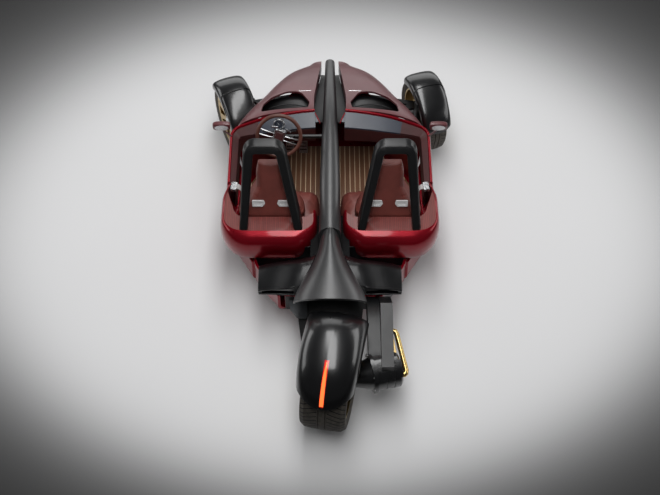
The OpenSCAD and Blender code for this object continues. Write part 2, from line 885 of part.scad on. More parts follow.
// Section of the back, rear then front: share of the half width, share of the wing, share of the thickness
back_shares = [
    [-1, 0.55, 0.35], [-0.94, 0.3, 0.1], [-0.6, 0, 0], [0, 0, 0],
    [0.6, 0, 0], [0.94, 0.3, 0.1], [1, 0.55, 0.35],
    [0.97, 1, 0.85], [0.82, 1, 1], [0.55, 0.25, 1], [0, 0, 1],
    [-0.55, 0.25, 1], [-0.82, 1, 1], [-0.97, 1, 0.85]
];

module seat_back(side) {
    low = floor_z + seat_gap;
    high = hoop_top_z * back_top_share;
    color("#6b2a26")
    on_side(side)
    translate([seat_x, 0, 0])
    loft([
        for (s = steps(back_stations))
            let (
                z = mix(low, high, s),
                y = max(back_rear_y, hoop_front_y(z) + back_hoop_gap),
                w = seat_w * curve(back_w_shares, s),
                t = back_t * curve(back_t_shares, s),
                wing = back_wing * curve(back_wing_shares, s)
            )
            [for (p = back_shares) [w * p[0], y + wing * p[1] + t * p[2], z]]
    ], true);
}

// Steering wheel and column on the left-hand side

wheel_x = -389;
wheel_y = 567;
wheel_z = 800;
wheel_tilt = 25;
wheel_rim_r = 15;
wheel_hub_r = 44;
wheel_hub_h = 40;
wheel_spoke_w = 26;
wheel_spoke_t = 12;
// Directions of the spokes around the wheel
wheel_spoke_angles = [180, 0, 270];
column_r = 26;
column_from = 24;
column_len = 74;
column_arm_r = 16;
column_arm_at = 74;

// Places a piece on the steering axis, its own +Z towards the driver
module on_steering_axis() {
    translate([wheel_x, wheel_y, wheel_z])
    rotate([90 - wheel_tilt, 0, 0])
    children();
}

module steering_wheel() {
    ring_r = wheel_d / 2 - wheel_rim_r;
    color("#5a3020")
    on_steering_axis()
    rotate([0, 0, -wheel_turn]) {
        rotate_extrude()
        translate([ring_r, 0])
        circle(wheel_rim_r);
        translate([0, 0, -wheel_hub_h / 2])
        cylinder(h = wheel_hub_h, r = wheel_hub_r);
        for (a = wheel_spoke_angles)
            rotate([0, 0, a])
            translate([0, -wheel_spoke_w / 2, -wheel_spoke_t / 2])
            cube([ring_r, wheel_spoke_w, wheel_spoke_t]);
    }
}

module steering_column() {
    arm_y = wheel_y + column_arm_at * cos(wheel_tilt);
    arm_z = spine_top(spine_t(arm_y)) - spine_w(spine_t(arm_y)) - column_arm_r;
    arm_end = -spine_w(spine_t(arm_y)) - gap;
    color("#1b1b1d") {
        on_steering_axis()
        translate([0, 0, -column_from - column_len])
        cylinder(h = column_len + column_from - wheel_hub_h / 2 - gap, r = column_r);
        translate([wheel_x, arm_y, arm_z])
        rotate([0, 90, 0])
        cylinder(h = arm_end - wheel_x, r = column_arm_r);
    }
}

// Gauge: a round dial on a foot over the column

gauge_r = 40;
gauge_h = 34;
gauge_lift = 72;
gauge_at = 90;
gauge_foot_w = 26;

module gauge() {
    color("#303236")
    on_steering_axis()
    translate([0, gauge_lift, -gauge_at]) {
        cylinder(h = gauge_h, r = gauge_r);
        difference() {
            translate([-gauge_foot_w / 2, -gauge_lift, 0])
            cube([gauge_foot_w, gauge_lift, gauge_h]);
            translate([0, -gauge_lift, -over])
            cylinder(h = gauge_h + 2 * over, r = column_r + gap);
        }
    }
}

// Mirrors on thin stalks at the front corners of the cockpit

mirror_x = 828;
mirror_y = 628;
mirror_z = 848;
mirror_w = 132;
mirror_h = 72;
mirror_d = 50;
mirror_stalk_r = 8;
mirror_seat = 3.6;
// Point of the rim's corner that carries the stalk
mirror_step = 6;
// Housing across the car: share of its width, share of its full section
mirror_shares = [[-0.5, 0.62], [-0.44, 0.86], [-0.3, 0.97], [0, 1], [0.3, 0.94], [0.44, 0.8], [0.5, 0.55]];
mirror_sides = 16;
// Squareness of the housing's section
mirror_square_share = 0.55;
post_sides = 12;

// Post between two level rings
module post(p, q, r) {
    ring = [for (i = [0:post_sides - 1]) r * [cos(360 * i / post_sides), sin(360 * i / post_sides), 0]];
    loft([[for (v = ring) p + v], [for (v = ring) q + v]], true);
}

function squared(v) = sign(v) * pow(abs(v), mirror_square_share);

module mirrors() {
    i = rim_front_steps + mirror_step;
    color("#1a1a1c")
    both_sides() {
        translate([mirror_x, mirror_y, mirror_z])
        loft([
            for (p = mirror_shares)
                [for (k = [0:mirror_sides - 1])
                    let (
                        a = 360 * k / mirror_sides,
                        y = mirror_d / 2 * p[1] * squared(cos(a)),
                        z = mirror_h / 2 * p[1] * squared(sin(a))
                    )
                    [mirror_w * p[0], y, z]]
        ], true);
        post(
            [rim_path[i][0], rim_path[i][1], rim_z(i) + rim_high + mirror_seat],
            [mirror_x, mirror_y, mirror_z - mirror_h / 2 - gap],
            mirror_stalk_r
        );
    }
}

// Headlamps on the nose flanks of the tub

lamp_stations = 4;
lamp_len = 2 * (tub_nose_y - tub_back_y) / tub_stations;
lamp_h = 22;
lamp_out = 16;
lamp_z = 436;

module headlamps() {
    color("#d8dce2")
    both_sides()
    translate([0, 0, lamp_z])
    linear_extrude(lamp_h)
    polygon(concat(
        [for (s = steps(lamp_stations)) let (y = tub_nose_y - lamp_len * s) [tub_w_at(y) + gap, y]],
        [for (s = steps(lamp_stations))
            let (y = tub_nose_y - lamp_len * (1 - s))
            [tub_w_at(y) + gap + lamp_out, y]]
    ));
}

// Pedals standing on the left floor board

pedal_w = 70;
pedal_h = 150;
pedal_t = 16;
pedal_y = 960;
pedal_lean = 25;
pedal_x = [-330, -220];

module pedals() {
    color("#8c8f94")
    for (x = pedal_x)
        translate([x - pedal_w / 2, pedal_y, floor_z + gap])
        multmatrix([[1, 0, 0, 0], [0, 1, tan(pedal_lean), 0], [0, 0, 1, 0], [0, 0, 0, 1]])
        cube([pedal_w, pedal_t, pedal_h]);
}

// Front corners, drawn for the right-hand side about the wheel centre

kingpin_in = half_track - kingpin_x;
upright_half_h = 108;
upright_d = 84;
upright_wall = 30;
upright_in = kingpin_in + upright_wall;
upright_out = 62;
stub_r = 28;
stub_end = 46;
ball_r = 13;
ball_len = 46;
// Radial running clearance of pins and axles
pin_fit = 0.06;
front_fender_r = 346;
front_fender_w = 252;
front_fender_t = 13;
front_fender_skirt = 66;
// Front and rear ends of the front fender, in degrees ahead of and behind its top
front_fender_ahead = 32;
front_fender_behind = 76;
fender_arm_t = 12;
fender_arm_w = 46;
fender_arm_y = -150;

// Places a right-hand piece, drawn about its wheel centre, on its side at its parked steering angle
module at_front_wheel(side) {
    translate([side * kingpin_x, front_axle_y, front_tyre_r])
    rotate([0, 0, side > 0 ? right_steer : left_steer])
    on_side(side)
    translate([kingpin_in, 0, 0])
    children();
}

// Turns a piece drawn around +Z so that it runs along +X; its angle 180 is then up, 90 ahead
module along_x() {
    rotate([0, 90, 0])
    children();
}

module knuckle(side) {
    arm_x = -front_fender_w / 2 - gap - fender_arm_t;
    color("#55585e")
    at_front_wheel(side)
    difference() {
        union() {
            translate([-upright_in, -upright_d / 2, -upright_half_h])
            cube([upright_in - upright_out, upright_d, 2 * upright_half_h]);
            translate([-upright_out - over, 0, 0])
            along_x()
            cylinder(h = upright_out + over + stub_end, r = stub_r);
            translate([arm_x, fender_arm_y, 0])
            cube([-arm_x - upright_out, -fender_arm_y, fender_arm_w]);
            translate([arm_x, fender_arm_y, 0])
            cube([fender_arm_t, fender_arm_w, front_fender_r - front_fender_skirt]);
        }
        for (up = [0, 1])
            mirror([0, 0, up])
            translate([-kingpin_in, 0, upright_half_h - ball_len])
            cylinder(h = ball_len + over, r = ball_r + pin_fit);
    }
}

// Section of a fender from its crown to its skirt: share of the half width, share of the drop
fender_half_shares = [
    [0, 0], [0.28, 0.012], [0.55, 0.055], [0.8, 0.16], [0.93, 0.31], [0.985, 0.5], [1, 0.72], [1, 1]
];
fender_shares = concat(
    [for (i = [len(fender_half_shares) - 1:-1:1]) [-fender_half_shares[i][0], fender_half_shares[i][1]]],
    fender_half_shares
);
fender_stations = 18;

// Grid of a fender about its own centre, set in by a depth; its rear end is drawn in and rounded
function fender_grid(r, w, drop, depth, ahead, behind, taper_share, tuck) = [
    for (s = steps(fender_stations))
        [for (p = fender_shares)
            let (
                a = mix(-ahead, behind - tuck * p[0] * p[0], s),
                half = w / 2 * (1 - taper_share * pow(max(a, 0) / behind, 2)) - depth,
                q = r - drop * p[1] - depth * (1 - p[1])
            )
            [half * p[0], -q * sin(a), q * cos(a)]]
];

// Narrowing and rounding of the front fender's rear end
front_taper_share = 0.07;
front_tuck = 9;

module front_fender(side) {
    color("#17181a")
    at_front_wheel(side)
    skin_between(
        fender_grid(front_fender_r, front_fender_w, front_fender_skirt, 0,
            front_fender_ahead, front_fender_behind, front_taper_share, front_tuck),
        fender_grid(front_fender_r, front_fender_w, front_fender_skirt, front_fender_t,
            front_fender_ahead, front_fender_behind, front_taper_share, front_tuck)
    );
}

tyre_shoulder_share = 0.6;

// Half section of a tyre: radius, then distance from its middle plane
module tyre(r, w, rim_r) {
    wall = (r - rim_r) / 3;
    shoulder = wall * tyre_shoulder_share;
    rotate_extrude($fn = 64)
    polygon([
        [rim_r, w / 2 - wall / 2],
        [rim_r + wall, w / 2],
        [r - wall, w / 2],
        [r - wall / 4, w / 2 - shoulder],
        [r, w / 4],
        [r, -w / 4],
        [r - wall / 4, shoulder - w / 2],
        [r - wall, -w / 2],
        [rim_r + wall, -w / 2],
        [rim_r, wall / 2 - w / 2]
    ]);
}

module front_tyre(side) {
    color("#151515")
    at_front_wheel(side)
    along_x()
    tyre(front_tyre_r, front_tyre_w, front_rim_r);
}

// Wheel rim: barrel, dished face towards +X, hub with a bore, and a brake disc inside
barrel_t = 12;
face_t = 16;
hub_r = 58;
disc_r = 150;
disc_t = 12;
hub_back = -40;
face_x = 52;
window_n = 9;
// Radii and half widths of a window, as shares of the rim radius
window_shares = [[0.38, 0.06], [0.84, 0.19]];

// Sector-shaped windows of a wheel face
module windows(r, h) {
    for (i = [1:window_n])
        rotate([0, 0, 360 * i / window_n])
        linear_extrude(h)
        polygon([
            for (p = [[0, -1], [1, -1], [1, 1], [0, 1]])
                let (w = window_shares[p[0]])
                r * [w[0], p[1] * w[1]]
        ]);
}

module front_rim(side) {
    barrel_w = front_tyre_w - (front_tyre_r - front_rim_r) / 3;
    color("#9a7434")
    at_front_wheel(side)
    along_x()
    difference() {
        rotate_extrude()
        polygon([
            [stub_r + pin_fit, hub_back],
            [disc_r, hub_back],
            [disc_r, hub_back + disc_t],
            [hub_r, hub_back + disc_t],
            [hub_r, face_x],
            [front_rim_r - barrel_t, face_x + face_t],
            [front_rim_r - barrel_t, -barrel_w / 2],
            [front_rim_r, -barrel_w / 2],
            [front_rim_r, barrel_w / 2],
            [front_rim_r - barrel_t, barrel_w / 2],
            [hub_r, face_x + face_t],
            [stub_r + pin_fit, face_x + face_t]
        ]);
        windows(front_rim_r, front_tyre_w);
    }
}

// Wishbones: an upper and a lower arm on each side, with the pins that carry the knuckle

wishbone_t = 22;
wishbone_w = 36;
wishbone_half_span = 115;
wishbone_seat = 0.1;

// Where the arm's root meets the tub, at a distance ahead of the axle
function wishbone_root(y) = tub_w_at(front_axle_y + y) + wishbone_seat;

module wishbone() {
    outer = wishbone_half_span + wishbone_w / 2;
    inner = wishbone_half_span - wishbone_w / 2;
    linear_extrude(wishbone_t)
    polygon([
        [wishbone_root(-outer), -outer],
        [kingpin_x, -wishbone_w],
        [kingpin_x + wishbone_w, 0],
        [kingpin_x, wishbone_w],
        [wishbone_root(outer), outer],
        [wishbone_root(inner), inner],
        [kingpin_x - 2 * wishbone_w, wishbone_w / 4],
        [kingpin_x - 2 * wishbone_w, -wishbone_w / 4],
        [wishbone_root(-inner), -inner]
    ]);
    translate([kingpin_x, 0, -ball_len + over])
    cylinder(h = ball_len, r = ball_r);
}

module wishbones() {
    color("#3a3c40")
    both_sides()
    translate([0, front_axle_y, front_tyre_r])
    for (up = [0, 1])
        mirror([0, 0, up])
        translate([0, 0, upright_half_h + gap])
        wishbone();
}

// Rear module: a fixed motor and arm on the right carry a steered wheel inside its fender

motor_swing = 13.5;
king_boss_r = 46;
king_boss_half_h = 66;
king_pin_r = 18;
king_pin_len = 40;
motor_stub_r = 46;
motor_stub_len = 168;
motor_cone_r = 72;
motor_cone_len = 120;
motor_flange = 14;
motor_flange_r = motor_r + motor_flange;
motor_flange_t = 24;
motor_edge = 14;
motor_from = motor_stub_len + motor_cone_len;
motor_groove = 9;
// Places of the two grooves round the motor can, as shares of its length
motor_groove_shares = [0.40, 0.68];

// Places a piece on the rear wheel centre
module at_rear_centre() {
    translate([0, rear_axle_y, rear_tyre_r])
    children();
}

// Places a piece on the rear wheel centre at its parked steering angle
module at_rear_wheel() {
    at_rear_centre()
    rotate([0, 0, -rear_steer])
    children();
}

module motor() {
    color("#1d1e21")
    at_rear_centre() {
        difference() {
            union() {
                rotate([0, 0, motor_swing])
                along_x()
                difference() {
                    rotate_extrude()
                    polygon([
                        [0, 0],
                        [motor_stub_r, 0],
                        [motor_stub_r, motor_stub_len],
                        [motor_cone_r, motor_stub_len],
                        [motor_r - motor_edge, motor_from],
                        [motor_flange_r, motor_from],
                        [motor_flange_r, motor_from + motor_flange_t],
                        [motor_r, motor_from + motor_flange_t],
                        [motor_r, motor_from + motor_len - motor_edge],
                        [motor_r - motor_edge, motor_from + motor_len],
                        [0, motor_from + motor_len]
                    ]);
                    for (s = motor_groove_shares)
                        translate([0, 0, motor_from + motor_len * s])
                        rotate_extrude()
                        translate([motor_r - motor_groove, 0])
                        square([motor_groove + over, motor_groove]);
                }
                translate([0, 0, -king_boss_half_h])
                cylinder(h = 2 * king_boss_half_h, r = king_boss_r);
            }
            for (up = [0, 1])
                mirror([0, 0, up])
                translate([0, 0, king_boss_half_h - king_pin_len])
                cylinder(h = king_pin_len + over, r = king_pin_r + pin_fit);
        }
    }
}

// Arm: a flat strut from the tail tray back to a saddle on the motor

arm_x = 395;
arm_t = 42;
arm_root_y = tray_end_y - gap;
arm_tip_back = 70;
arm_root_low = 262;
arm_top_z = 590;
arm_shoulder_y = -840;
arm_web = 130;

module rear_arm() {
    motor_y = rear_axle_y + (arm_x - arm_t / 2) * tan(motor_swing);
    color("#4b4e54")
    difference() {
        translate([arm_x - arm_t, 0, 0])
        rotate([90, 0, 90])
        linear_extrude(arm_t)
        polygon([
            [arm_root_y, arm_root_low],
            [arm_root_y, tray_top_z],
            [arm_shoulder_y, arm_top_z],
            [motor_y + arm_tip_back, rear_tyre_r + motor_r + arm_tip_back],
            [motor_y - arm_tip_back, rear_tyre_r + motor_r + arm_tip_back / 2],
            [motor_y - arm_tip_back, rear_tyre_r + motor_r / 2],
            [motor_y + motor_r, rear_tyre_r],
            [arm_shoulder_y, arm_top_z - arm_web]
        ]);
        at_rear_centre()
        rotate([0, 0, motor_swing])
        along_x()
        cylinder(h = arm_x * 2, r = motor_r + gap);
    }
}

// Side loop: a round bar from the arm back round the outer end of the motor

loop_r = 13;
loop_root_y = -1000;
loop_top_z = 480;
loop_top_out = 64;
loop_end_out = 134;
loop_end_y = -1303;
loop_end_z = 400;

loop_sides = 12;

function cross_unit(a, b) = unit(cross(a, b));

// Rings of a round bar along a path
function bar_rings(path, r, n) = [
    for (i = [0:len(path) - 1])
        let (
            along = unit(path[min(i + 1, len(path) - 1)] - path[max(i - 1, 0)]),
            side = cross_unit(along, [0, 0, 1]),
            up = cross_unit(side, along)
        )
        [for (k = [0:n - 1]) path[i] + r * (cos(360 * k / n) * side + sin(360 * k / n) * up)]
];

module side_loop() {
    axis = [cos(motor_swing), sin(motor_swing), 0];
    end = [arm_x + loop_end_out, loop_end_y, loop_end_z];
    reach = (end - [0, rear_axle_y, end[2]]) * axis - motor_from - motor_len - gap;
    bend = loop_r * 2;
    top = [arm_x + loop_top_out, loop_root_y, loop_top_z];
    down = unit(end - top);
    color("#b8893a")
    loft(bar_rings([
        [arm_x + gap, loop_root_y, loop_top_z],
        [arm_x + gap + loop_r / 2, loop_root_y, loop_top_z],
        top - [bend, 0, 0],
        top + (down - [1, 0, 0]) * bend / 4,
        top + down * bend,
        end - down * bend,
        end - (axis + down) * bend / 4,
        end - axis * (reach - loop_r / 2),
        end - axis * reach
    ], loop_r, loop_sides));
}

// Rear knuckle: a bearing ring round the kingpin boss, with the bracket of the fender

ring_out_r = 146;
ring_in_r = 110;
ring_half_w = 44;
bracket_r = 16;
bracket_t = 14;
bracket_w = 110;
bracket_low = 92;
bracket_y = 20;
// Places of the two rods along the bracket
bracket_rod_shares = [0.12, 0.42];
bracket_drop_share = 0.8;
fender_shift = 55;
rear_fender_t = 16;
rear_skirt = 150;

module rear_knuckle() {
    skirt_x = rear_fender_w / 2 - rear_fender_t - 2 * gap;
    top = fender_shift + rear_fender_r - rear_skirt * bracket_drop_share;
    color("#5b5e64")
    at_rear_wheel() {
        translate([-ring_half_w, 0, 0])
        along_x()
        difference() {
            cylinder(h = 2 * ring_half_w, r = ring_out_r);
            translate([0, 0, -over])
            cylinder(h = 2 * ring_half_w + 2 * over, r = ring_in_r);
        }
        for (up = [0, 1])
            mirror([0, 0, up])
            translate([0, 0, king_boss_half_h - king_pin_len + gap])
            cylinder(h = ring_in_r + over - king_boss_half_h + king_pin_len, r = king_pin_r);
        for (s = bracket_rod_shares)
            translate([ring_half_w - over, bracket_y + bracket_w * s, bracket_low + bracket_r])
            along_x()
            cylinder(h = skirt_x - ring_half_w + over, r = bracket_r);
        translate([skirt_x - bracket_t, bracket_y, bracket_low])
        cube([bracket_t, bracket_w, top - bracket_low]);
    }
}

// Ends of the rear fender, in degrees ahead of and behind its top, and the drawing in of its rear
rear_fender_ahead = 58;
rear_fender_behind = 72;
rear_taper_share = 0.11;
rear_tuck = 12;

// Places a piece on the fender's own centre, ahead of and above the wheel's
module at_rear_fender() {
    at_rear_wheel()
    translate([0, fender_shift, fender_shift])
    children();
}

module rear_fender() {
    color("#202125")
    at_rear_fender()
    skin_between(
        fender_grid(rear_fender_r, rear_fender_w, rear_skirt, 0,
            rear_fender_ahead, rear_fender_behind, rear_taper_share, rear_tuck),
        fender_grid(rear_fender_r, rear_fender_w, rear_skirt, rear_fender_t,
            rear_fender_ahead, rear_fender_behind, rear_taper_share, rear_tuck)
    );
}

// Tail lamp: a thin strip up the middle of the fender's rear, narrow at its top

tail_lamp_w = 26;
tail_lamp_t = 6;
tail_lamp_from = 24;
tail_lamp_to = 67;
tail_lamp_stations = 12;
tail_lamp_w_shares = [0.25, 0.7, 0.9, 1, 1];

module tail_lamp() {
    color("#ff4a1c")
    at_rear_fender()
    loft([
        for (s = steps(tail_lamp_stations))
            let (
                a = mix(tail_lamp_from, tail_lamp_to, s),
                half = tail_lamp_w / 2 * curve(tail_lamp_w_shares, s),
                low = rear_fender_r + gap,
                high = low + tail_lamp_t
            )
            [for (p = [[-half, low], [half, low], [half, high], [-half, high]])
                [p[0], -p[1] * sin(a), p[1] * cos(a)]]
    ], true);
}

module rear_tyre() {
    color("#151515")
    at_rear_wheel()
    along_x()
    tyre(rear_tyre_r, rear_tyre_w, rear_rim_r);
}

// Rear rim: a barrel with its face on the left, turning on the knuckle's ring

sleeve_t = 18;

module rear_rim() {
    half = rear_tyre_w / 2 - (rear_tyre_r - rear_rim_r) / 6;
    face = -ring_half_w - 2 * face_t;
    color("#9a7434")
    at_rear_wheel()
    along_x()
    rotate_extrude()
    polygon([
        [rear_rim_r, -half],
        [rear_rim_r, half],
        [rear_rim_r - barrel_t, half],
        [rear_rim_r - barrel_t, face + face_t],
        [ring_out_r + sleeve_t, face + face_t],
        [ring_out_r + sleeve_t, ring_half_w],
        [ring_out_r + pin_fit, ring_half_w],
        [ring_out_r + pin_fit, face + face_t],
        [0, face + face_t],
        [0, face],
        [rear_rim_r - barrel_t, face - face_t],
        [rear_rim_r - barrel_t, -half]
    ]);
}

spine_beam();
tail_cowl();
tail_wings();
tail_tray();
tub();
hood(-1);  // hood_left
hood(1);  // hood_right
cockpit_rims();
side_panel(-1);  // side_panel_left
side_panel(1);  // side_panel_right
rear_quarter(-1);  // rear_quarter_left
rear_quarter(1);  // rear_quarter_right
decks();
floor_boards();
dash_panels();
linings();
seat_cushion(-1);  // seat_cushion_left
seat_cushion(1);  // seat_cushion_right
seat_back(-1);  // seat_back_left
seat_back(1);  // seat_back_right
hoop(-1);  // hoop_left
hoop(1);  // hoop_right
steering_column();
steering_wheel();
gauge();
mirrors();
headlamps();
pedals();
battery();
wishbones();
knuckle(-1);  // knuckle_left
knuckle(1);  // knuckle_right
front_fender(-1);  // front_fender_left
front_fender(1);  // front_fender_right
front_rim(-1);  // front_rim_left
front_rim(1);  // front_rim_right
front_tyre(-1);  // front_tyre_left
front_tyre(1);  // front_tyre_right
rear_arm();
motor();
side_loop();
rear_knuckle();
rear_fender();
tail_lamp();
rear_rim();
rear_tyre();
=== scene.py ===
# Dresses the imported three-wheeled car and sets the photo's view: forms in millimetres, places in metres
import bmesh
import bpy
import json
from math import acos, atan2, cos, pi, radians, sin, tan
from mathutils import Matrix, Vector


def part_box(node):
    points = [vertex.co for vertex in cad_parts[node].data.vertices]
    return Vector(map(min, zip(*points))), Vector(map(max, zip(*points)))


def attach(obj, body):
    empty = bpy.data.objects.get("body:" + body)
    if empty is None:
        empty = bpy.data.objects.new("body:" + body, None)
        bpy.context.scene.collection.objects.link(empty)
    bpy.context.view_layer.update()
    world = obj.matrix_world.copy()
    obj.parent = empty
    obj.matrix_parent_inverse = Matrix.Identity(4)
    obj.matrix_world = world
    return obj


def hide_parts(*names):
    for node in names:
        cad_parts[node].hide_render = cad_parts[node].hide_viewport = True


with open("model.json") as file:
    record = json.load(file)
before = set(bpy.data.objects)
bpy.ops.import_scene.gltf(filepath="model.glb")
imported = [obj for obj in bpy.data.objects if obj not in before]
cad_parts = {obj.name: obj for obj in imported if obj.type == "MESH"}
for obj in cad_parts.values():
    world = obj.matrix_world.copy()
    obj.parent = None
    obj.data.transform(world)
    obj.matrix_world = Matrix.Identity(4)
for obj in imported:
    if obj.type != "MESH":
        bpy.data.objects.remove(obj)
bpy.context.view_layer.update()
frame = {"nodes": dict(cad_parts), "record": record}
NODES = frame["nodes"]
scene = bpy.context.scene
scene.view_settings.view_transform = "Standard"
BODY_OF = {n: b for b, names in frame["record"]["behaviour"]["bodies"].items() for n in names}

MM = 0.001

# Places of the moving groups, in metres and radians, as they stand in the frame
KINGPIN_X = 0.706
FRONT_AXLE_Y = 1.275
FRONT_HUB_Z = 0.31
FRONT_HUB_OUT = 0.084
STEER = {-1: radians(22), 1: radians(18)}
REAR_AXLE_Y = -1.325
REAR_HUB_Z = 0.33
REAR_STEER = radians(-10.5)
REAR_FENDER_SHIFT = 0.055
MOTOR_TURN = radians(13.5)
COLUMN_AT = (-0.389, 0.567, 0.8)
COLUMN_TILT = radians(65)
WHEEL_TURN = radians(-18)
SEAT_X = 430


def front_wheel(side):
    """Frame at a front wheel's centre, its own X along the axle to the car's right."""
    return (
        Matrix.Translation((side * KINGPIN_X, FRONT_AXLE_Y, FRONT_HUB_Z))
        @ Matrix.Rotation(STEER[side], 4, "Z")
        @ Matrix.Translation((side * FRONT_HUB_OUT, 0, 0))
    )


def box_mm(node):
    """The low and high corners of a CAD node, in millimetres."""
    return [corner * 1000 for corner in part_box(node)]


REAR = Matrix.Translation((0, REAR_AXLE_Y, REAR_HUB_Z))
REAR_WHEEL = REAR @ Matrix.Rotation(REAR_STEER, 4, "Z")
REAR_FENDER = REAR_WHEEL @ Matrix.Translation((0, REAR_FENDER_SHIFT, REAR_FENDER_SHIFT))
MOTOR = REAR @ Matrix.Rotation(MOTOR_TURN, 4, "Z")
COLUMN = Matrix.Translation(COLUMN_AT) @ Matrix.Rotation(COLUMN_TILT, 4, "X")
WHEEL = COLUMN @ Matrix.Rotation(WHEEL_TURN, 4, "Z")


# Materials: procedural, in each piece's own coordinates in metres

class Shader:
    """A material under construction: its nodes, its surface and its coordinates."""

    def __init__(self, name):
        self.material = bpy.data.materials.new(name)
        self.material.use_nodes = True
        self.tree = self.material.node_tree
        self.surface = self.tree.nodes["Principled BSDF"]
        self.place = self.node("ShaderNodeTexCoord").outputs["Object"]

    def node(self, kind, **values):
        n = self.tree.nodes.new(kind)
        for key, value in values.items():
            if key in n.inputs:
                n.inputs[key].default_value = value
            else:
                setattr(n, key, value)
        return n

    def link(self, a, b):
        self.tree.links.new(a, b)

    def noise(self, scale, detail=4.0, stretch=(1, 1, 1)):
        """Noise over the piece, drawn out along the axes with a small stretch."""
        mapping = self.node("ShaderNodeMapping", Scale=stretch)
        self.link(self.place, mapping.inputs["Vector"])
        n = self.node("ShaderNodeTexNoise", Scale=scale, Detail=detail)
        self.link(mapping.outputs["Vector"], n.inputs["Vector"])
        return n.outputs["Fac"]

    def math(self, operation, a, b=None, c=None):
        n = self.node("ShaderNodeMath", operation=operation)
        for socket, value in zip(n.inputs, (a, b, c)):
            if value is None:
                continue
            if isinstance(value, (int, float)):
                socket.default_value = value
            else:
                self.link(value, socket)
        return n.outputs[0]

    def axis(self, which):
        n = self.node("ShaderNodeSeparateXYZ")
        self.link(self.place, n.inputs[0])
        return n.outputs[which]

    def mix(self, fac, a, b):
        n = self.node("ShaderNodeMix", data_type="RGBA")
        for socket, value in ((n.inputs[0], fac), (n.inputs[6], a), (n.inputs[7], b)):
            if isinstance(value, (tuple, float, int)):
                socket.default_value = (*value, 1) if isinstance(value, tuple) else value
            else:
                self.link(value, socket)
        return n.outputs[2]

    def ramp(self, fac, low, high):
        """Fac spread so that low becomes 0 and high becomes 1."""
        n = self.node("ShaderNodeMapRange")
        n.inputs["From Min"].default_value = low
        n.inputs["From Max"].default_value = high
        self.link(fac, n.inputs["Value"])
        return n.outputs["Result"]

    def bump(self, height, strength, distance=0.002):
        n = self.node("ShaderNodeBump", Strength=strength, Distance=distance)
        self.link(height, n.inputs["Height"])
        self.link(n.outputs["Normal"], self.surface.inputs["Normal"])

    def finish(self, colour=None, rough=0.5, metal=0.0, coat=0.0, coat_rough=0.05, spec=0.5):
        s = self.surface.inputs
        if colour is not None:
            self.link(colour, s["Base Color"])
        if isinstance(rough, float):
            s["Roughness"].default_value = rough
        else:
            self.link(rough, s["Roughness"])
        s["Metallic"].default_value = metal
        s["Coat Weight"].default_value = coat
        s["Coat Roughness"].default_value = coat_rough
        s["Specular IOR Level"].default_value = spec
        return self.material


def shaded(colour, share):
    return tuple(c * share for c in colour)


def paint(name, colour, rough, coat=0.0, metal=0.0, spread=0.12, spec=0.5, coat_rough=0.05):
    """Paint with a slow drift of tone, fine flake and uneven gloss."""
    s = Shader(name)
    tone = s.mix(s.ramp(s.noise(3.0), 0.3, 0.7), shaded(colour, 1 - spread), shaded(colour, 1 + spread))
    fleck = s.mix(s.ramp(s.noise(900.0, 1.0), 0.62, 0.8), tone, shaded(colour, 1 + 2 * spread))
    gloss = s.math("MULTIPLY_ADD", s.noise(14.0), 0.12, rough - 0.06)
    s.bump(s.noise(260.0, 2.0), 0.015)
    return s.finish(fleck, gloss, metal, coat, coat_rough, spec)


def metal(name, colour, rough, grain=(1, 1, 40)):
    """Bare metal with a brushed grain."""
    s = Shader(name)
    brushed = s.noise(60.0, 5.0, grain)
    tone = s.mix(s.ramp(brushed, 0.3, 0.7), shaded(colour, 0.82), colour)
    gloss = s.math("MULTIPLY_ADD", brushed, 0.16, rough - 0.08)
    s.bump(brushed, 0.04, 0.0006)
    return s.finish(tone, gloss, 1.0)


def leather(name, colour, rough=0.52):
    """Leather with a pebbled grain and worn tone."""
    s = Shader(name)
    cells = s.node("ShaderNodeTexVoronoi", Scale=330.0)
    s.link(s.place, cells.inputs["Vector"])
    tone = s.mix(s.ramp(s.noise(9.0), 0.3, 0.7), shaded(colour, 0.78), shaded(colour, 1.18))
    s.bump(cells.outputs["Distance"], 0.22, 0.0012)
    return s.finish(tone, rough, coat=0.08, coat_rough=0.3)


def stripes(name, base, line, pitch, width, rough, coat, dark=0.72):
    """Boards or veneer strips along Y with a line between them, and a long grain."""
    s = Shader(name)
    x = s.math("MULTIPLY", s.axis(0), 1 / pitch)
    place = s.math("FRACT", s.math("ADD", x, 100.0))
    board = s.math("FLOOR", s.math("ADD", x, 100.0))
    each = s.node("ShaderNodeTexWhiteNoise", noise_dimensions="1D")
    s.link(board, each.inputs["W"])
    grain = s.noise(55.0, 6.0, (12, 0.5, 0.5))
    tone = s.math("MULTIPLY_ADD", each.outputs["Value"], 0.45, s.math("MULTIPLY", grain, 0.9))
    wood = s.mix(s.ramp(tone, 0.25, 1.05), shaded(base, dark), shaded(base, 1.25))
    seam = s.math("LESS_THAN", place, width / pitch)
    s.bump(s.math("SUBTRACT", grain, seam), 0.06, 0.001)
    return s.finish(s.mix(seam, wood, line), rough, coat=coat)


def glow(name, colour, strength):
    """A lit lens with a fine prism pattern; on the fender's band round the rear lamp it is a painted glow.
    """
    s = Shader(name)
    cells = s.noise(240.0, 1.0)
    s.surface.inputs["Emission Strength"].default_value = strength
    s.link(s.mix(s.ramp(cells, 0.3, 0.7), colour, shaded(colour, 1.2)), s.surface.inputs["Emission Color"])
    return s.finish(s.mix(cells, colour, shaded(colour, 0.8)), 0.2, coat=0.6)


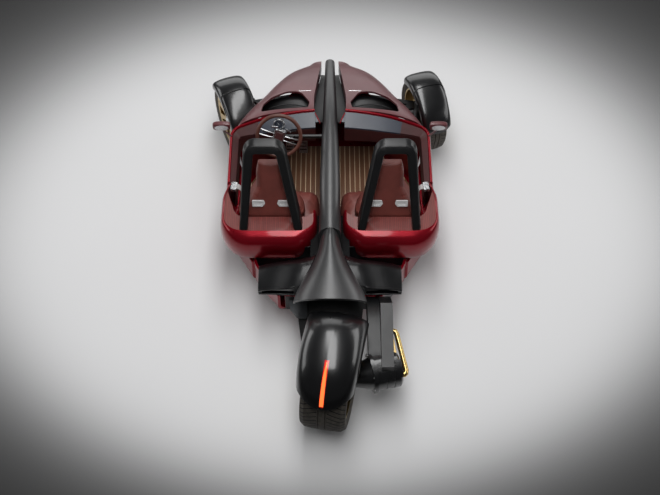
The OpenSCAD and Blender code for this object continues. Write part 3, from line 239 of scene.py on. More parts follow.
def tread(name):
    """Tyre rubber in wheel coordinates: dusty tread cut by slanted grooves whose near-black colour is
    painted shade, and fine rings on the walls.
    """
    s = Shader(name)
    x, y, z = s.axis(0), s.axis(1), s.axis(2)
    angle = s.math("ARCTAN2", y, z)
    reach = s.math("SQRT", s.math("ADD", s.math("MULTIPLY", y, y), s.math("MULTIPLY", z, z)))
    across = s.math("ABSOLUTE", x)
    lean = s.math("ADD", s.math("MULTIPLY", angle, 52 / (2 * pi)), s.math("MULTIPLY", across, 9.0))
    cut = s.math("LESS_THAN", s.math("FRACT", s.math("ADD", lean, 50.0)), 0.2)
    outer = s.math("GREATER_THAN", across, 0.034)
    high = s.math("GREATER_THAN", reach, 0.292)
    groove = s.math("MULTIPLY", s.math("MULTIPLY", cut, outer), high)
    ribs = s.math("SINE", s.math("MULTIPLY", reach, 900.0))
    dust = s.mix(s.ramp(s.noise(35.0), 0.35, 0.7), (0.055, 0.049, 0.041), (0.095, 0.084, 0.070))
    s.bump(s.math("SUBTRACT", s.math("MULTIPLY", ribs, 0.06), groove), 0.7, 0.004)
    # The grooves are a real cut as a bump, and their near-black colour is painted shade in them
    return s.finish(s.mix(groove, dust, (0.004, 0.004, 0.004)), 0.72, spec=0.35)


MAT = {
    "hood_satin": paint("hood_satin", (0.090, 0.014, 0.018), 0.42, 0.5, spec=0.7, coat_rough=0.3),
    "body_red": paint("body_red", (0.215, 0.002, 0.009), 0.30, 0.5, 0.5, spec=0.2, coat_rough=0.05),
    "spine_dark": paint("spine_dark", (0.017, 0.017, 0.018), 0.44, 0.4, spec=0.8, coat_rough=0.28),
    "gloss_black": paint("gloss_black", (0.0035, 0.0035, 0.0040), 0.30, 0.7, coat_rough=0.14),
    "satin_black": paint("satin_black", (0.0045, 0.0045, 0.0050), 0.36),
    "veneer": stripes("veneer", (0.17, 0.030, 0.024), (0.060, 0.010, 0.010), 0.0135, 0.0022, 0.46, 0.12),
    "planks": stripes("planks", (0.165, 0.078, 0.044), (0.62, 0.46, 0.31), 0.040, 0.0055, 0.42, 0.25),
    "leather": leather("leather", (0.145, 0.034, 0.026)),
    "lining": leather("lining", (0.048, 0.009, 0.009), 0.6),
    "dash_gloss": paint("dash_gloss", (0.026, 0.032, 0.048), 0.36, 0.25, coat_rough=0.2),
    "steel": metal("steel", (0.58, 0.59, 0.60), 0.28),
    "bronze": metal("bronze", (0.50, 0.36, 0.16), 0.34),
    "gold": metal("gold", (0.70, 0.50, 0.20), 0.26),
    "tyre": tread("tyre"),
    "tail_light": glow("tail_light", (1.0, 0.13, 0.03), 1.7),
    "head_light": glow("head_light", (0.8, 0.85, 0.9), 0.15),
    "cells": paint("cells", (0.030, 0.032, 0.035), 0.5),
    "pale": paint("pale", (0.70, 0.70, 0.70), 0.35, 0.4),
    # Painted glow on the fender's band round the rear lamp, which is no lamp itself
    "lamp_halo_glow": glow("lamp_halo_glow", (0.55, 0.012, 0.004), 0.35),
    "webbing": leather("webbing", (0.42, 0.40, 0.39), 0.7),
    "wheel_leather": leather("wheel_leather", (0.090, 0.030, 0.020), 0.5),
}


# Forms: points in millimetres in a piece's own frame

def piece(name, points, faces, slot, body, place=None, sharp=35, bevel=0.0, levels=0, material=None):
    """A new piece that rides on a body, in the finish of one of the record's slots."""
    mesh = bpy.data.meshes.new(name)
    mesh.from_pydata([Vector(p) * MM for p in points], [], faces)
    bm = bmesh.new()
    bm.from_mesh(mesh)
    bmesh.ops.remove_doubles(bm, verts=bm.verts, dist=1e-6)
    bmesh.ops.recalc_face_normals(bm, faces=bm.faces)
    bm.to_mesh(mesh)
    bm.free()
    return dress(name, mesh, slot, body, place, sharp, bevel, levels, material)


def dress(name, mesh, slot, body, place=None, sharp=35, bevel=0.0, levels=0, material=None):
    """Puts a finished mesh in the scene on its body."""
    obj = bpy.data.objects.new(name, mesh)
    scene.collection.objects.link(obj)
    if place is not None:
        obj.matrix_world = place
        bpy.context.view_layer.update()
    mesh.shade_smooth()
    if not levels:
        mesh.set_sharp_from_angle(angle=radians(sharp))
    mesh.materials.append(material or MAT[slot])
    if bevel:
        m = obj.modifiers.new("bevel", "BEVEL")
        m.width = bevel * MM
        m.segments = 2
        m.limit_method = "ANGLE"
        m.angle_limit = radians(sharp)
        m.harden_normals = not levels
    if levels:
        m = obj.modifiers.new("smooth", "SUBSURF")
        m.levels = m.render_levels = levels
    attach(obj, body)
    return obj


def shell(node, slot, bevel=2.2, sharp=32, other=None, warp=None, grow=0.0):
    """A CAD node's own surface with its facets welded and shaded smooth and its sharp edges rounded.

    other is a rule on a face's centre and normal, with the slot of the faces that meet it;
    warp gives the new place of a point in millimetres, and grow is how far it then moves outward.
    """
    bm = bmesh.new()
    bm.from_mesh(NODES[node].data)
    bmesh.ops.remove_doubles(bm, verts=bm.verts, dist=2e-5)
    bmesh.ops.dissolve_degenerate(bm, edges=bm.edges, dist=1e-5)
    bmesh.ops.join_triangles(
        bm, faces=bm.faces, angle_face_threshold=radians(14), angle_shape_threshold=radians(70)
    )
    bmesh.ops.recalc_face_normals(bm, faces=bm.faces)
    for v in bm.verts if warp else ():
        v.co = warp(v.co * 1000) * MM
    bm.normal_update()
    for v, step in [(v, v.normal * grow * MM) for v in bm.verts]:
        v.co += step
    edges = [e for e in bm.edges if len(e.link_faces) == 2 and e.calc_face_angle(0) > radians(sharp)]
    if edges and bevel:
        bmesh.ops.bevel(
            bm, geom=edges, offset=bevel * MM, segments=2, profile=0.6, affect="EDGES", clamp_overlap=True
        )
    mesh = bpy.data.meshes.new(node)
    bm.to_mesh(mesh)
    bm.free()
    obj = dress(node + "_form", mesh, slot, BODY_OF[node], sharp=50)
    if other:
        mesh.materials.append(MAT[other[1]])
        for face in mesh.polygons:
            face.material_index = int(other[0](face.center * 1000, face.normal))
    m = obj.modifiers.new("normals", "WEIGHTED_NORMAL")
    m.keep_sharp = True
    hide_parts(node)
    return obj


def grid_faces(rows, cols, round_cols=False, round_rows=False):
    """Faces over a grid of points given row by row, closed across its columns or its rows if asked."""
    faces = []
    for i in range(rows if round_rows else rows - 1):
        here = i * cols
        there = (i + 1) % rows * cols
        for j in range(cols if round_cols else cols - 1):
            k = (j + 1) % cols
            faces.append((here + j, here + k, there + k, there + j))
    return faces


def slab(outer, inner):
    """Closed skin between two grids of the same size."""
    rows, cols = len(outer), len(outer[0])
    m = rows * cols
    points = [p for r in outer for p in r] + [p for r in inner for p in r]
    faces = grid_faces(rows, cols) + [tuple(m + k for k in reversed(f)) for f in grid_faces(rows, cols)]
    edge = list(range(cols))
    edge += [i * cols + cols - 1 for i in range(1, rows)]
    edge += [m - cols + j for j in range(cols - 2, -1, -1)]
    edge += [i * cols for i in range(rows - 2, 0, -1)]
    faces += [(a, m + a, m + b, b) for a, b in zip(edge, edge[1:] + edge[:1])]
    return points, faces


def lowered(rows, depth):
    """A grid of points set down by a depth."""
    return [[(x, y, z - depth) for x, y, z in row] for row in rows]


def loft(rings):
    """Closed solid through rings of the same count."""
    n = len(rings[0])
    faces = grid_faces(len(rings), n, True)
    faces += [tuple(range(n)), tuple(range(len(rings) * n - n, len(rings) * n))]
    return [p for r in rings for p in r], faces


def lathe(profile, n=48):
    """Closed profile of distance along X and radius, turned about X."""
    rings = [
        [(x, r * sin(2 * pi * k / n), r * cos(2 * pi * k / n)) for x, r in profile] for k in range(n)
    ]
    return [p for r in rings for p in r], grid_faces(n, len(profile), True, True)


def tube(path, r, n=12, close=False):
    """Round bar along a path."""
    path = [Vector(p) for p in path]
    last = len(path) - 1
    rings, side = [], None
    for i, p in enumerate(path):
        if close:
            along = (path[(i + 1) % len(path)] - path[i - 1]).normalized()
        else:
            along = (path[min(i + 1, last)] - path[max(i - 1, 0)]).normalized()
        if side is None:
            side = along.orthogonal().normalized()
        side = (side - along * side.dot(along)).normalized()
        up = along.cross(side)
        rings.append([p + r * (cos(2 * pi * k / n) * side + sin(2 * pi * k / n) * up) for k in range(n)])
    if close:
        return [p for ring in rings for p in ring], grid_faces(len(rings), n, True, True)
    return loft(rings)


def prism(outline, low, high):
    """Plan outline drawn up from one height to another."""
    return loft([[(x, y, low) for x, y in outline], [(x, y, high) for x, y in outline]])


def rounded(corners, steps=6):
    """Closed outline whose corners, each x, y and radius, are rounded."""
    out = []
    for i, (x, y, r) in enumerate(corners):
        p = Vector((x, y))
        a = (Vector(corners[i - 1][:2]) - p).normalized()
        b = (Vector(corners[(i + 1) % len(corners)][:2]) - p).normalized()
        half = acos(max(-1, min(1, a.dot(b)))) / 2
        middle = p + (a + b).normalized() * r / sin(half)
        start = p + a * r / tan(half) - middle
        end = p + b * r / tan(half) - middle
        turn = (atan2(end.y, end.x) - atan2(start.y, start.x) + pi) % (2 * pi) - pi
        for k in range(steps + 1):
            t = atan2(start.y, start.x) + turn * k / steps
            out.append((middle.x + r * cos(t), middle.y + r * sin(t)))
    return out


def block(w, d, h, r):
    """Block with rounded upright edges, centred."""
    w, d = w / 2, d / 2
    return prism(rounded([(-w, -d, r), (w, -d, r), (w, d, r), (-w, d, r)], 4), -h / 2, h / 2)


def joined(*forms):
    """Several forms as one."""
    points, faces = [], []
    for p, f in forms:
        faces += [tuple(len(points) + k for k in face) for face in f]
        points += list(p)
    return points, faces


def moved(form, place):
    """A form under a matrix whose lengths are millimetres."""
    return [place @ Vector(p) for p in form[0]], form[1]


def at(x=0, y=0, z=0, rx=0, rz=0):
    """A place with turns in degrees about its own X and then about Z."""
    turn = Matrix.Rotation(radians(rz), 4, "Z") @ Matrix.Rotation(radians(rx), 4, "X")
    return Matrix.Translation((x, y, z)) @ turn


def mirrored(form):
    """A right-hand form and its left-hand twin."""
    points, faces = form
    return joined(form, ([(-p[0], p[1], p[2]) for p in points], [f[::-1] for f in faces]))


def curve(v, t):
    """Smooth curve through equally spaced values, t from 0 to 1."""
    n = len(v) - 1
    s = min(max(t, 0), 1) * n
    i = min(int(s), n - 1)
    f = s - i
    a, b, c, d = v[max(i - 1, 0)], v[i], v[i + 1], v[min(i + 2, n)]
    return (2 * b + (c - a) * f + (2 * a - 5 * b + 4 * c - d) * f**2 + (3 * b - a - 3 * c + d) * f**3) / 2


def mix(a, b, t):
    return a + (b - a) * t


def cut(obj, points, faces):
    """Takes a form out of a piece for good."""
    mesh = bpy.data.meshes.new("cutter")
    mesh.from_pydata([Vector(p) * MM for p in points], [], faces)
    cutter = bpy.data.objects.new("cutter", mesh)
    scene.collection.objects.link(cutter)
    bm = bmesh.new()
    bm.from_mesh(mesh)
    bmesh.ops.recalc_face_normals(bm, faces=bm.faces)
    bm.to_mesh(mesh)
    bm.free()
    m = obj.modifiers.new("cut", "BOOLEAN")
    m.operation = "DIFFERENCE"
    m.solver = "EXACT"
    m.object = cutter
    bpy.context.view_layer.update()
    result = bpy.data.meshes.new_from_object(obj.evaluated_get(bpy.context.evaluated_depsgraph_get()))
    obj.modifiers.remove(m)
    bpy.data.objects.remove(cutter)
    obj.data = result
    result.shade_smooth()
    result.set_sharp_from_angle(angle=radians(35))


# Body: first the sizes of the hood halves

NOSE_Y = 1660
COWL_Y = 820
COWL_Z = 835
HOOD_HALF_W = 750
HOOD_SKIN = 20
HOOD_SWEEP = 100
NOSE_SWEEP = 50
CROWN_POWER = 0.7
FLANGE_DROP = 110
LIP_DROP = 32
HOOD_ROWS = 60
HOOD_BEVEL = 3
SIDES = ((-1, "left"), (1, "right"))

# Shares of the half width and of the cowl's height, from the nose to the cowl
HOOD = {
    "outer": (0.25, 0.47, 0.612, 0.732, 0.872, 0.975),
    "inner": (0.095, 0.11, 0.13, 0.15, 0.168, 0.165),
    "ridge": (0.675, 0.765, 0.845, 0.905, 0.96, 1),
    "edge": (0.60, 0.61, 0.64, 0.69, 0.745, 0.80),
}

# Corners of an outlet in plan with their radii, and the heights it is cut between
VENT = (
    (172, 846, 14), (158, 920, 45), (232, 1078, 80), (340, 1094, 90), (460, 1030, 110), (525, 935, 60),
    (538, 822, 20),
)
VENT_LOW = 480
VENT_HIGH = 900


def hood_x(key, t):
    return HOOD_HALF_W * curve(HOOD[key], t)


def hood_z(key, t):
    return COWL_Z * curve(HOOD[key], t)


def hood_point(t, s, depth=0.0):
    """A point over the hood's crown, from its inner edge at s 0 to its outer edge at s 1."""
    x0 = hood_x("inner", t) + depth
    x1 = hood_x("outer", t) - depth
    z0 = hood_z("ridge", t) - depth
    z1 = hood_z("edge", t)
    a = pi / 2 * s
    x = mix(x0, x1, max(sin(a), 0) ** CROWN_POWER)
    nose = NOSE_SWEEP * (1 - t) ** 8 * ((x - x0) / (x1 - x0)) ** 2
    y = mix(NOSE_Y, COWL_Y, t) - HOOD_SWEEP * t * (x / HOOD_HALF_W) ** 2 - nose
    return (x, y, mix(z1, z0, max(cos(a), 0) ** CROWN_POWER))


def hood_row(t, depth, n=40):
    """One section of a hood half: its flange beside the spine, its crown and its outer lip."""
    crown = [hood_point(t, k / n, depth) for k in range(n + 1)]
    flange = [(crown[0][0], crown[0][1], crown[0][2] - FLANGE_DROP * k / 5) for k in range(5, 0, -1)]
    lip = [(crown[-1][0], crown[-1][1], crown[-1][2] - LIP_DROP * k / 3) for k in range(1, 4)]
    return flange + crown + lip


def hoods():
    for side, name in SIDES:
        outer, inner = (
            [[(side * x, y, z) for x, y, z in hood_row(i / HOOD_ROWS, depth)] for i in range(HOOD_ROWS + 1)]
            for depth in (0, HOOD_SKIN)
        )
        obj = piece(f"hood_{name}_form", *slab(outer, inner), "hood_satin", "body")
        outline = [(side * x, y) for x, y in rounded(VENT)]
        cut(obj, *prism(outline, VENT_LOW, VENT_HIGH))
        m = obj.modifiers.new("bevel", "BEVEL")
        m.width = HOOD_BEVEL * MM
        m.segments = 2
        m.angle_limit = radians(38)
        m.limit_method = "ANGLE"
        m.harden_normals = True
        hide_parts(f"hood_{name}")


def hood_under(x, y, drop):
    """Height of the hood's skin over a place in plan, less a drop."""
    t = 0.5
    for _ in range(6):
        t = (NOSE_Y - HOOD_SWEEP * t * (x / HOOD_HALF_W) ** 2 - y) / (NOSE_Y - COWL_Y)
        t = min(max(t, 0), 1)
    x0 = hood_x("inner", t)
    x1 = hood_x("outer", t)
    across = min(max((x - x0) / (x1 - x0), 0), 1) ** (1 / CROWN_POWER)
    up = (1 - across**2) ** 0.5
    return mix(hood_z("edge", t), hood_z("ridge", t), up**CROWN_POWER) - drop


DUCT_X = (140, 550)
DUCT_Y = (805, 1110)
DUCT_DROP = 70
DUCT_SAG = 90
DUCT_T = 6
VANES_Y = (915, 985)
VANE_X = 190
VANE_END_X = 510
VANE_STEP = 20
VANE_SPAN = 330
VANE_BOW = 34
VANE_DROP = 104
VANE_R = 5


def vent_ducts():
    """A dark duct floor under each outlet, with curved vanes across it."""
    rows, cols = 14, 16
    for side, name in SIDES:
        floor = []
        for i in range(rows + 1):
            y = mix(*DUCT_Y, i / rows)
            drop = DUCT_DROP + DUCT_SAG * sin(pi * i / rows) ** 2
            across = [mix(*DUCT_X, j / cols) for j in range(cols + 1)]
            floor.append([(side * x, y, hood_under(x, y, drop)) for x in across])
        piece(f"vent_duct_{name}", *slab(floor, lowered(floor, DUCT_T)), "satin_black", "body")
        vanes = []
        for y in VANES_Y:
            path = []
            for x in range(VANE_X, VANE_END_X, VANE_STEP):
                bow = VANE_BOW * sin(pi * (x - VANE_X) / VANE_SPAN)
                path.append((side * x, y + bow, hood_under(x, y, VANE_DROP)))
            vanes.append(tube(path, VANE_R, 8))
        piece(f"vent_vanes_{name}", *joined(*vanes), "satin_black", "body")


# Sizes of the dark sheets that stand in as painted shade between the spine and the hood halves
CHANNEL_NOSE_GAP = 4
CHANNEL_COWL_GAP = 10
CHANNEL_IN_X = 30
CHANNEL_LAP = 6
CHANNEL_DROP = 150
CHANNEL_SAG = 3
CHANNEL_T = 14


def nose_fillers():
    """Dark sheets in the channels between the spine and the hood's flanges, standing in as painted shade
    where the gaps fall dark.
    """
    rows = 24
    for side, name in SIDES:
        top = []
        for i in range(rows + 1):
            t = i / rows
            y = mix(NOSE_Y - CHANNEL_NOSE_GAP, COWL_Y + CHANNEL_COWL_GAP, t)
            x = hood_x("inner", t)
            z = hood_z("ridge", t) - CHANNEL_DROP
            across = ((CHANNEL_IN_X, 0), (x * 0.6, CHANNEL_SAG), (x + CHANNEL_LAP, 0))
            top.append([(side * k, y, z - sag) for k, sag in across])
        piece(f"nose_shade_sheet_{name}", *slab(top, lowered(top, CHANNEL_T)), "satin_black", "body")


# Place and section of the pale strip that stands in as a painted highlight on each outlet's front lip
GLINT_X = (150, 248)
GLINT_Y = 1090
GLINT_HALF = 2.4
GLINT_RISE = 0.4
GLINT_CROWN = 1.1
GLINT_ROOT = 3


def vent_lip_glints():
    """A pale steel strip across each half of the hood ahead of its outlet, standing in as a painted
    highlight on the outlet's front lip.
    """
    rings = []
    for k in range(13):
        x = mix(*GLINT_X, k / 12)
        z = hood_under(x, GLINT_Y, -GLINT_RISE)
        rings.append([
            (x, GLINT_Y - GLINT_HALF, z), (x, GLINT_Y, z + GLINT_CROWN), (x, GLINT_Y + GLINT_HALF, z),
            (x, GLINT_Y, z - GLINT_ROOT),
        ])
    piece("vent_lip_glint_strips", *mirrored(loft(rings)), "steel", "body")


hoods()
vent_ducts()
nose_fillers()
vent_lip_glints()
for node, slot in (
    ("cockpit_rims", "body_red"), ("side_panel_left", "body_red"), ("side_panel_right", "body_red"),
    ("tub", "body_red"), ("tail_cowl", "spine_dark"), ("tail_wings", "gloss_black"),
    ("floor_boards", "planks"), ("linings", "lining"), ("mirrors", "hood_satin"),
    ("headlamps", "head_light"), ("pedals", "steel"), ("battery", "cells"),
    ("wishbones", "satin_black"), ("knuckle_left", "satin_black"),
    ("knuckle_right", "satin_black"), ("front_rim_left", "bronze"), ("front_rim_right", "bronze"),
    ("rear_rim", "bronze"), ("motor", "gloss_black"), ("rear_knuckle", "satin_black"),
    ("tail_lamp", "tail_light"), ("steering_column", "satin_black"), ("gauge", "satin_black"),
):
    shell(node, slot)

# The spine's half widths and shares of its height, from the nose to the tail seam, in the solid and as shown
SPINE_Z = 800
SPINE_SOLID = (43, 46, 51, 53, 54, 54, 56, 59, 65, 81)
SPINE_SHOWN = (40, 42, 46, 52, 58, 64, 71, 76, 77, 81)
SPINE_TOP_SOLID = (0.672, 0.79, 0.885, 0.955, 0.99, 1, 0.998, 0.99, 0.978, 0.965)
SPINE_TOP_SHOWN = (0.745, 0.835, 0.91, 0.965, 0.995, 1, 0.998, 0.99, 0.978, 0.965)
SPINE_RISE_FROM = 300
SPINE_RISE_OVER = 200
HOOP_SPREAD = 1.19
HOOP_LEAN = 0.095
HOOP_FORWARD = 20
HOOP_RISE = 25
ARM_BREADTH = 2.0
DECK_FOLD_Y = -100
DECK_FOLD = 0.30


def spine_place(p):
    """The spine swells over the cockpit and its nose stands higher than the solid's."""
    low, high = box_mm("spine_beam")
    t = (high.y - p.y) / (high.y - low.y)
    share = min(max((p.z - SPINE_RISE_FROM) / SPINE_RISE_OVER, 0), 1)
    rise = SPINE_Z * (curve(SPINE_TOP_SHOWN, t) - curve(SPINE_TOP_SOLID, t)) * share
    return Vector((p.x * curve(SPINE_SHOWN, t) / curve(SPINE_SOLID, t), p.y, p.z + rise))


def hoop_place(p):
    """Towards its top the arch spreads, leans out and forward, and stands a little taller."""
    low, high = box_mm("hoop_right")
    rise = (p.z - low.z) / (high.z - low.z)
    middle = SEAT_X if p.x > 0 else -SEAT_X
    x = middle + middle * HOOP_LEAN * rise + (p.x - middle) * mix(1, HOOP_SPREAD, rise)
    return Vector((x, p.y + HOOP_FORWARD * rise, p.z + HOOP_RISE * rise))


def arm_place(p):
    """The strut's plate shows broader than its solid, towards the outside."""
    low = box_mm("rear_arm")[0].x
    return Vector((low + (p.x - low) * ARM_BREADTH, p.y, p.z))


def deck_place(p):
    """The deck ends under the rolled wall behind it."""
    return Vector((p.x, p.y + DECK_FOLD * max(0, DECK_FOLD_Y - p.y), p.z))


QUARTER_FLARE_Y = 95
QUARTER_FLARE_R = 260
QUARTER_R = 225
QUARTER_IN_X = 92
QUARTER_IN_R = 190
QUARTER_IN_END_Y = -50
QUARTER_SKIN = 14
ROLL_SIDE = 26
ROLL_REAR = 58

# The lower wall of a rear quarter: distance out from its widest line and height over its lower edge
QUARTER_WALL = ((-70, 0), (-44, 14), (-24, 40), (-10, 78), (-2, 125), (0, 160))


def bowl_section(roll, low, high):
    """Closed section of a rear quarter: distance out and height, up the outside and down the inside."""
    turn = [pi / 2 * k / 8 for k in range(9)]
    wall = [(x, low + z) for x, z in QUARTER_WALL]
    outside = [(-roll * (1 - cos(a)), mix(low + 172, high + 3, sin(a))) for a in turn]
    rim = [(-roll - 5, high - 1), (-roll - 4, high - 8)]
    inside = [
        (-QUARTER_SKIN - (roll - 10) * (1 - cos(a)), mix(low + 168, high - 12, sin(a))) for a in turn[-2::-1]
    ]
    return wall + outside + rim + inside + [(x - QUARTER_SKIN, z + 3) for x, z in wall[::-1]]


def bowl(side, name):
    """A rear quarter whose wall rolls in over the deck, most of all at its rear."""
    low, high = box_mm("rear_quarter_right")
    points = [v.co * 1000 for v in NODES["rear_quarter_right"].data.vertices]
    front_x = max(p.x for p in points if p.y > high.y - 1)
    corners = [
        (front_x, high.y, 0), (high.x, QUARTER_FLARE_Y, QUARTER_FLARE_R), (high.x, low.y, QUARTER_R),
        (QUARTER_IN_X, low.y, QUARTER_IN_R), (QUARTER_IN_X, QUARTER_IN_END_Y, 0),
    ]
    path = [Vector(p) for p in rounded(corners, 10)]
    path = [p for p, q in zip(path, path[1:] + path[:1]) if (p - q).length > 0.1]
    rings = []
    for i, p in enumerate(path):
        along = (path[min(i + 1, len(path) - 1)] - path[max(i - 1, 0)]).normalized()
        out = Vector((-along.y, along.x))
        section = bowl_section(ROLL_SIDE + ROLL_REAR * max(0, -out.y) ** 2, low.z, high.z)
        rings.append([(side * (p.x + out.x * d), p.y + out.y * d, z) for d, z in section])
    obj = piece(f"rear_quarter_{name}_form", *loft(rings), "body_red", "body", sharp=40)
    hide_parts(f"rear_quarter_{name}")


WING_IN_X = 225
WING_H = 135
WING_SHARES = (1.55, 1.2, 1.04, 0.97, 0.9, 0.78, 0.6)
WING_SWEEP = 34
WING_CHORD = 270
WING_TIP_SHARE = 0.82

# Share of the wing's height and radius of each lip
WING_LIPS = ((0.56, 9), (0.08, 8))


def wing_lips():
    """The rounded lips above and below each wing's rear slot."""
    low, high = box_mm("tail_wings")
    lips = []
    for share, r in WING_LIPS:
        path = []
        for k in range(13):
            s = mix(0.1, 1, k / 12)
            y = high.y - WING_SWEEP * s - WING_CHORD * mix(1, WING_TIP_SHARE, s) - 1
            path.append((mix(WING_IN_X, high.x - 4, s), y, low.z + WING_H * curve(WING_SHARES, s) * share))
        lips.append(tube(path, r, 12))
    piece("wing_lips", *mirrored(joined(*lips)), "gloss_black", "body")


DASH_END_X = 560
TRAY_DARK_X = -285


def dash_end(place, normal):
    return abs(place.x) > DASH_END_X


def tray_rear(place, normal):
    return normal.y < -0.5 and place.x > TRAY_DARK_X


for side, name in SIDES:
    bowl(side, name)
wing_lips()
for node in ("hoop_left", "hoop_right"):
    shell(node, "satin_black", bevel=6, warp=hoop_place)
shell("spine_beam", "spine_dark", warp=spine_place)
shell("decks", "veneer", warp=deck_place)
shell("rear_arm", "satin_black", bevel=9, warp=arm_place)
shell("side_loop", "gold", bevel=0, grow=6)
shell("dash_panels", "dash_gloss", other=(dash_end, "lining"))
shell("tail_tray", "body_red", other=(tray_rear, "satin_black"))


# Wheels, fenders and the rear module

# Half sections from the crown to the skirt: share of the half width, share of the drop
FRONT_HALF = (
    (0, 0), (0.28, 0.012), (0.55, 0.055), (0.8, 0.16), (0.93, 0.31), (0.985, 0.5), (1, 0.72), (1, 1),
)
REAR_HALF = (
    (0, 0), (0.26, 0.025), (0.5, 0.10), (0.72, 0.23), (0.87, 0.40), (0.955, 0.59), (0.99, 0.79), (1, 1),
)


class Fender:
    """The surface of a fender about its own centre."""

    def __init__(self, half, r, w, drop, ahead, behind, taper, tuck, lift=0.0):
        self.half = half
        self.r = r
        self.w = w
        self.drop = drop
        self.ahead = ahead
        self.behind = behind
        self.taper = taper
        self.tuck = tuck
        self.lift = lift

    def section(self, v):
        """Share of the half width and of the drop, v from -1 at one skirt to 1 at the other."""
        x = curve([p[0] for p in self.half], abs(v))
        return (x if v >= 0 else -x), curve([p[1] for p in self.half], abs(v))

    def point(self, a, v, depth=0.0):
        """A point at an angle in degrees behind the top, set in by a depth."""
        x, fall = self.section(v)
        fall *= 1 - self.lift * (max(-a, 0) / self.ahead) ** 2
        half = self.w / 2 * (1 - self.taper * (max(a, 0) / self.behind) ** 2) - depth
        q = self.r - self.drop * fall - depth * (1 - fall)
        return (half * x, -q * sin(radians(a)), q * cos(radians(a)))

    def grid(self, depth, rows=44, cols=44):
        out = []
        for i in range(rows + 1):
            row = []
            for j in range(cols + 1):
                v = 2 * j / cols - 1
                x = self.section(v)[0]
                row.append(self.point(mix(-self.ahead, self.behind - self.tuck * x * x, i / rows), v, depth))
            out.append(row)
        return out

    def patch(self, low, high, reach, depth, rows=24, cols=28):
        """Part of the surface between two angles, each a function of v."""
        across = [reach * (2 * j / cols - 1) for j in range(cols + 1)]
        return [
            [self.point(mix(low(v), high(v), i / rows), v, depth) for v in across] for i in range(rows + 1)
        ]


FRONT_FENDER = Fender(
    FRONT_HALF, r=346, w=252, drop=66, ahead=32, behind=76, taper=0.07, tuck=9
)
REAR_FENDER_FORM = Fender(
    REAR_HALF, r=408, w=424, drop=150, ahead=51, behind=72, taper=0.11, tuck=14, lift=0.6
)
FRONT_FENDER_SKIN = 13
REAR_FENDER_SKIN = 16
REAR_FENDER_STEPS = 56
VISOR_FRONT = -31
VISOR_MIDDLE = 6
VISOR_CORNER = 44
VISOR_REACH = 0.93
VISOR_OUT = -7
VISOR_IN = 1
LAMP_TOP = 22
LAMP_FOOT = 68.5
LAMP_REACH = 0.05
LAMP_OUT = -2
LAMP_IN = 3

# Inner and outer face along the axle, radius and broken edge of each hub cap
FRONT_HUB = (62, 82, 34, 3)
REAR_HUB = (-70, -96, 42, 4)

# Count, circle, inner and outer end along the axle, and radius of each ring of bolts
FRONT_BOLTS = (5, 46, 62, 76, 7)
REAR_BOLTS = (8, 118, -70, -84, 9)
FLANGE_BOLTS = (8, 135, 284, 292, 6)
CAP_BOLTS = (6, 78, 494, 503, 7)
MOTOR_CAP = (488, 499, 96, 4)


def tyre(name, r, w, rim, groove, body, place):
    """Tyre with a pair of grooves round its crown; the slanted ones are in its material."""
    half = w / 2
    wall = (r - rim) / 3
    side = [
        (groove - 4, r), (groove, r - 6), (groove + 4, r), (w / 4, r - 1), (half - 0.1 * w, r - 7),
        (half - 4, r - wall * 0.9), (half, r - wall * 1.6), (half - wall / 2, rim),
    ]
    profile = [(-x, q) for x, q in side[::-1]] + side
    obj = piece(name + "_form", *lathe(profile, 60), "tyre", body, place, sharp=28)
    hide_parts(name)


def disc(x0, x1, r, edge=2.0, n=32):
    """Solid of revolution about X between two planes, with a broken edge."""
    e = edge if x1 > x0 else -edge
    return lathe([(x0, 0.01), (x0, r - edge), (x0 + e, r), (x1 - e, r), (x1, r - edge), (x1, 0.01)], n)


def bolts(count, at_r, x0, x1, r):
    """Six-sided heads in a circle about X."""
    return [
        moved(disc(x0, x1, r, 1.2, 6), at(0, at_r * sin(2 * pi * k / count), at_r * cos(2 * pi * k / count)))
        for k in range(count)
    ]


def visor(depth):
    """The raised plate over the front of a front fender."""
    return FRONT_FENDER.patch(
        lambda v: VISOR_FRONT, lambda v: VISOR_MIDDLE + VISOR_CORNER * abs(v) ** 5, VISOR_REACH, depth
    )


def front_corner(side, name):
    place = front_wheel(side)
    steer = f"steer_{name}"
    wheel = f"wheel_{name}"
    tyre(f"front_tyre_{name}", r=310, w=190, rim=232, groove=17, body=wheel, place=place)
    skin = slab(FRONT_FENDER.grid(0), FRONT_FENDER.grid(FRONT_FENDER_SKIN))
    obj = piece(f"front_fender_{name}_form", *skin, "gloss_black", steer, place, bevel=2.0)
    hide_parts(f"front_fender_{name}")
    plate = slab(visor(VISOR_OUT), visor(VISOR_IN))
    piece(f"fender_visor_{name}", *plate, "gloss_black", steer, place, bevel=2.5)
    x0, x1, r, edge = FRONT_HUB
    cap = disc(side * x0, side * x1, r, edge)
    count, at_r, x0, x1, r = FRONT_BOLTS
    piece(f"hub_{name}", *joined(cap, *bolts(count, at_r, side * x0, side * x1, r)), "steel", wheel, place)


def lamp_strip(depth):
    """The band of the rear fender round its lamp, which carries a painted glow of the lamp's light."""
    return REAR_FENDER_FORM.patch(lambda v: LAMP_TOP, lambda v: LAMP_FOOT, LAMP_REACH, depth)


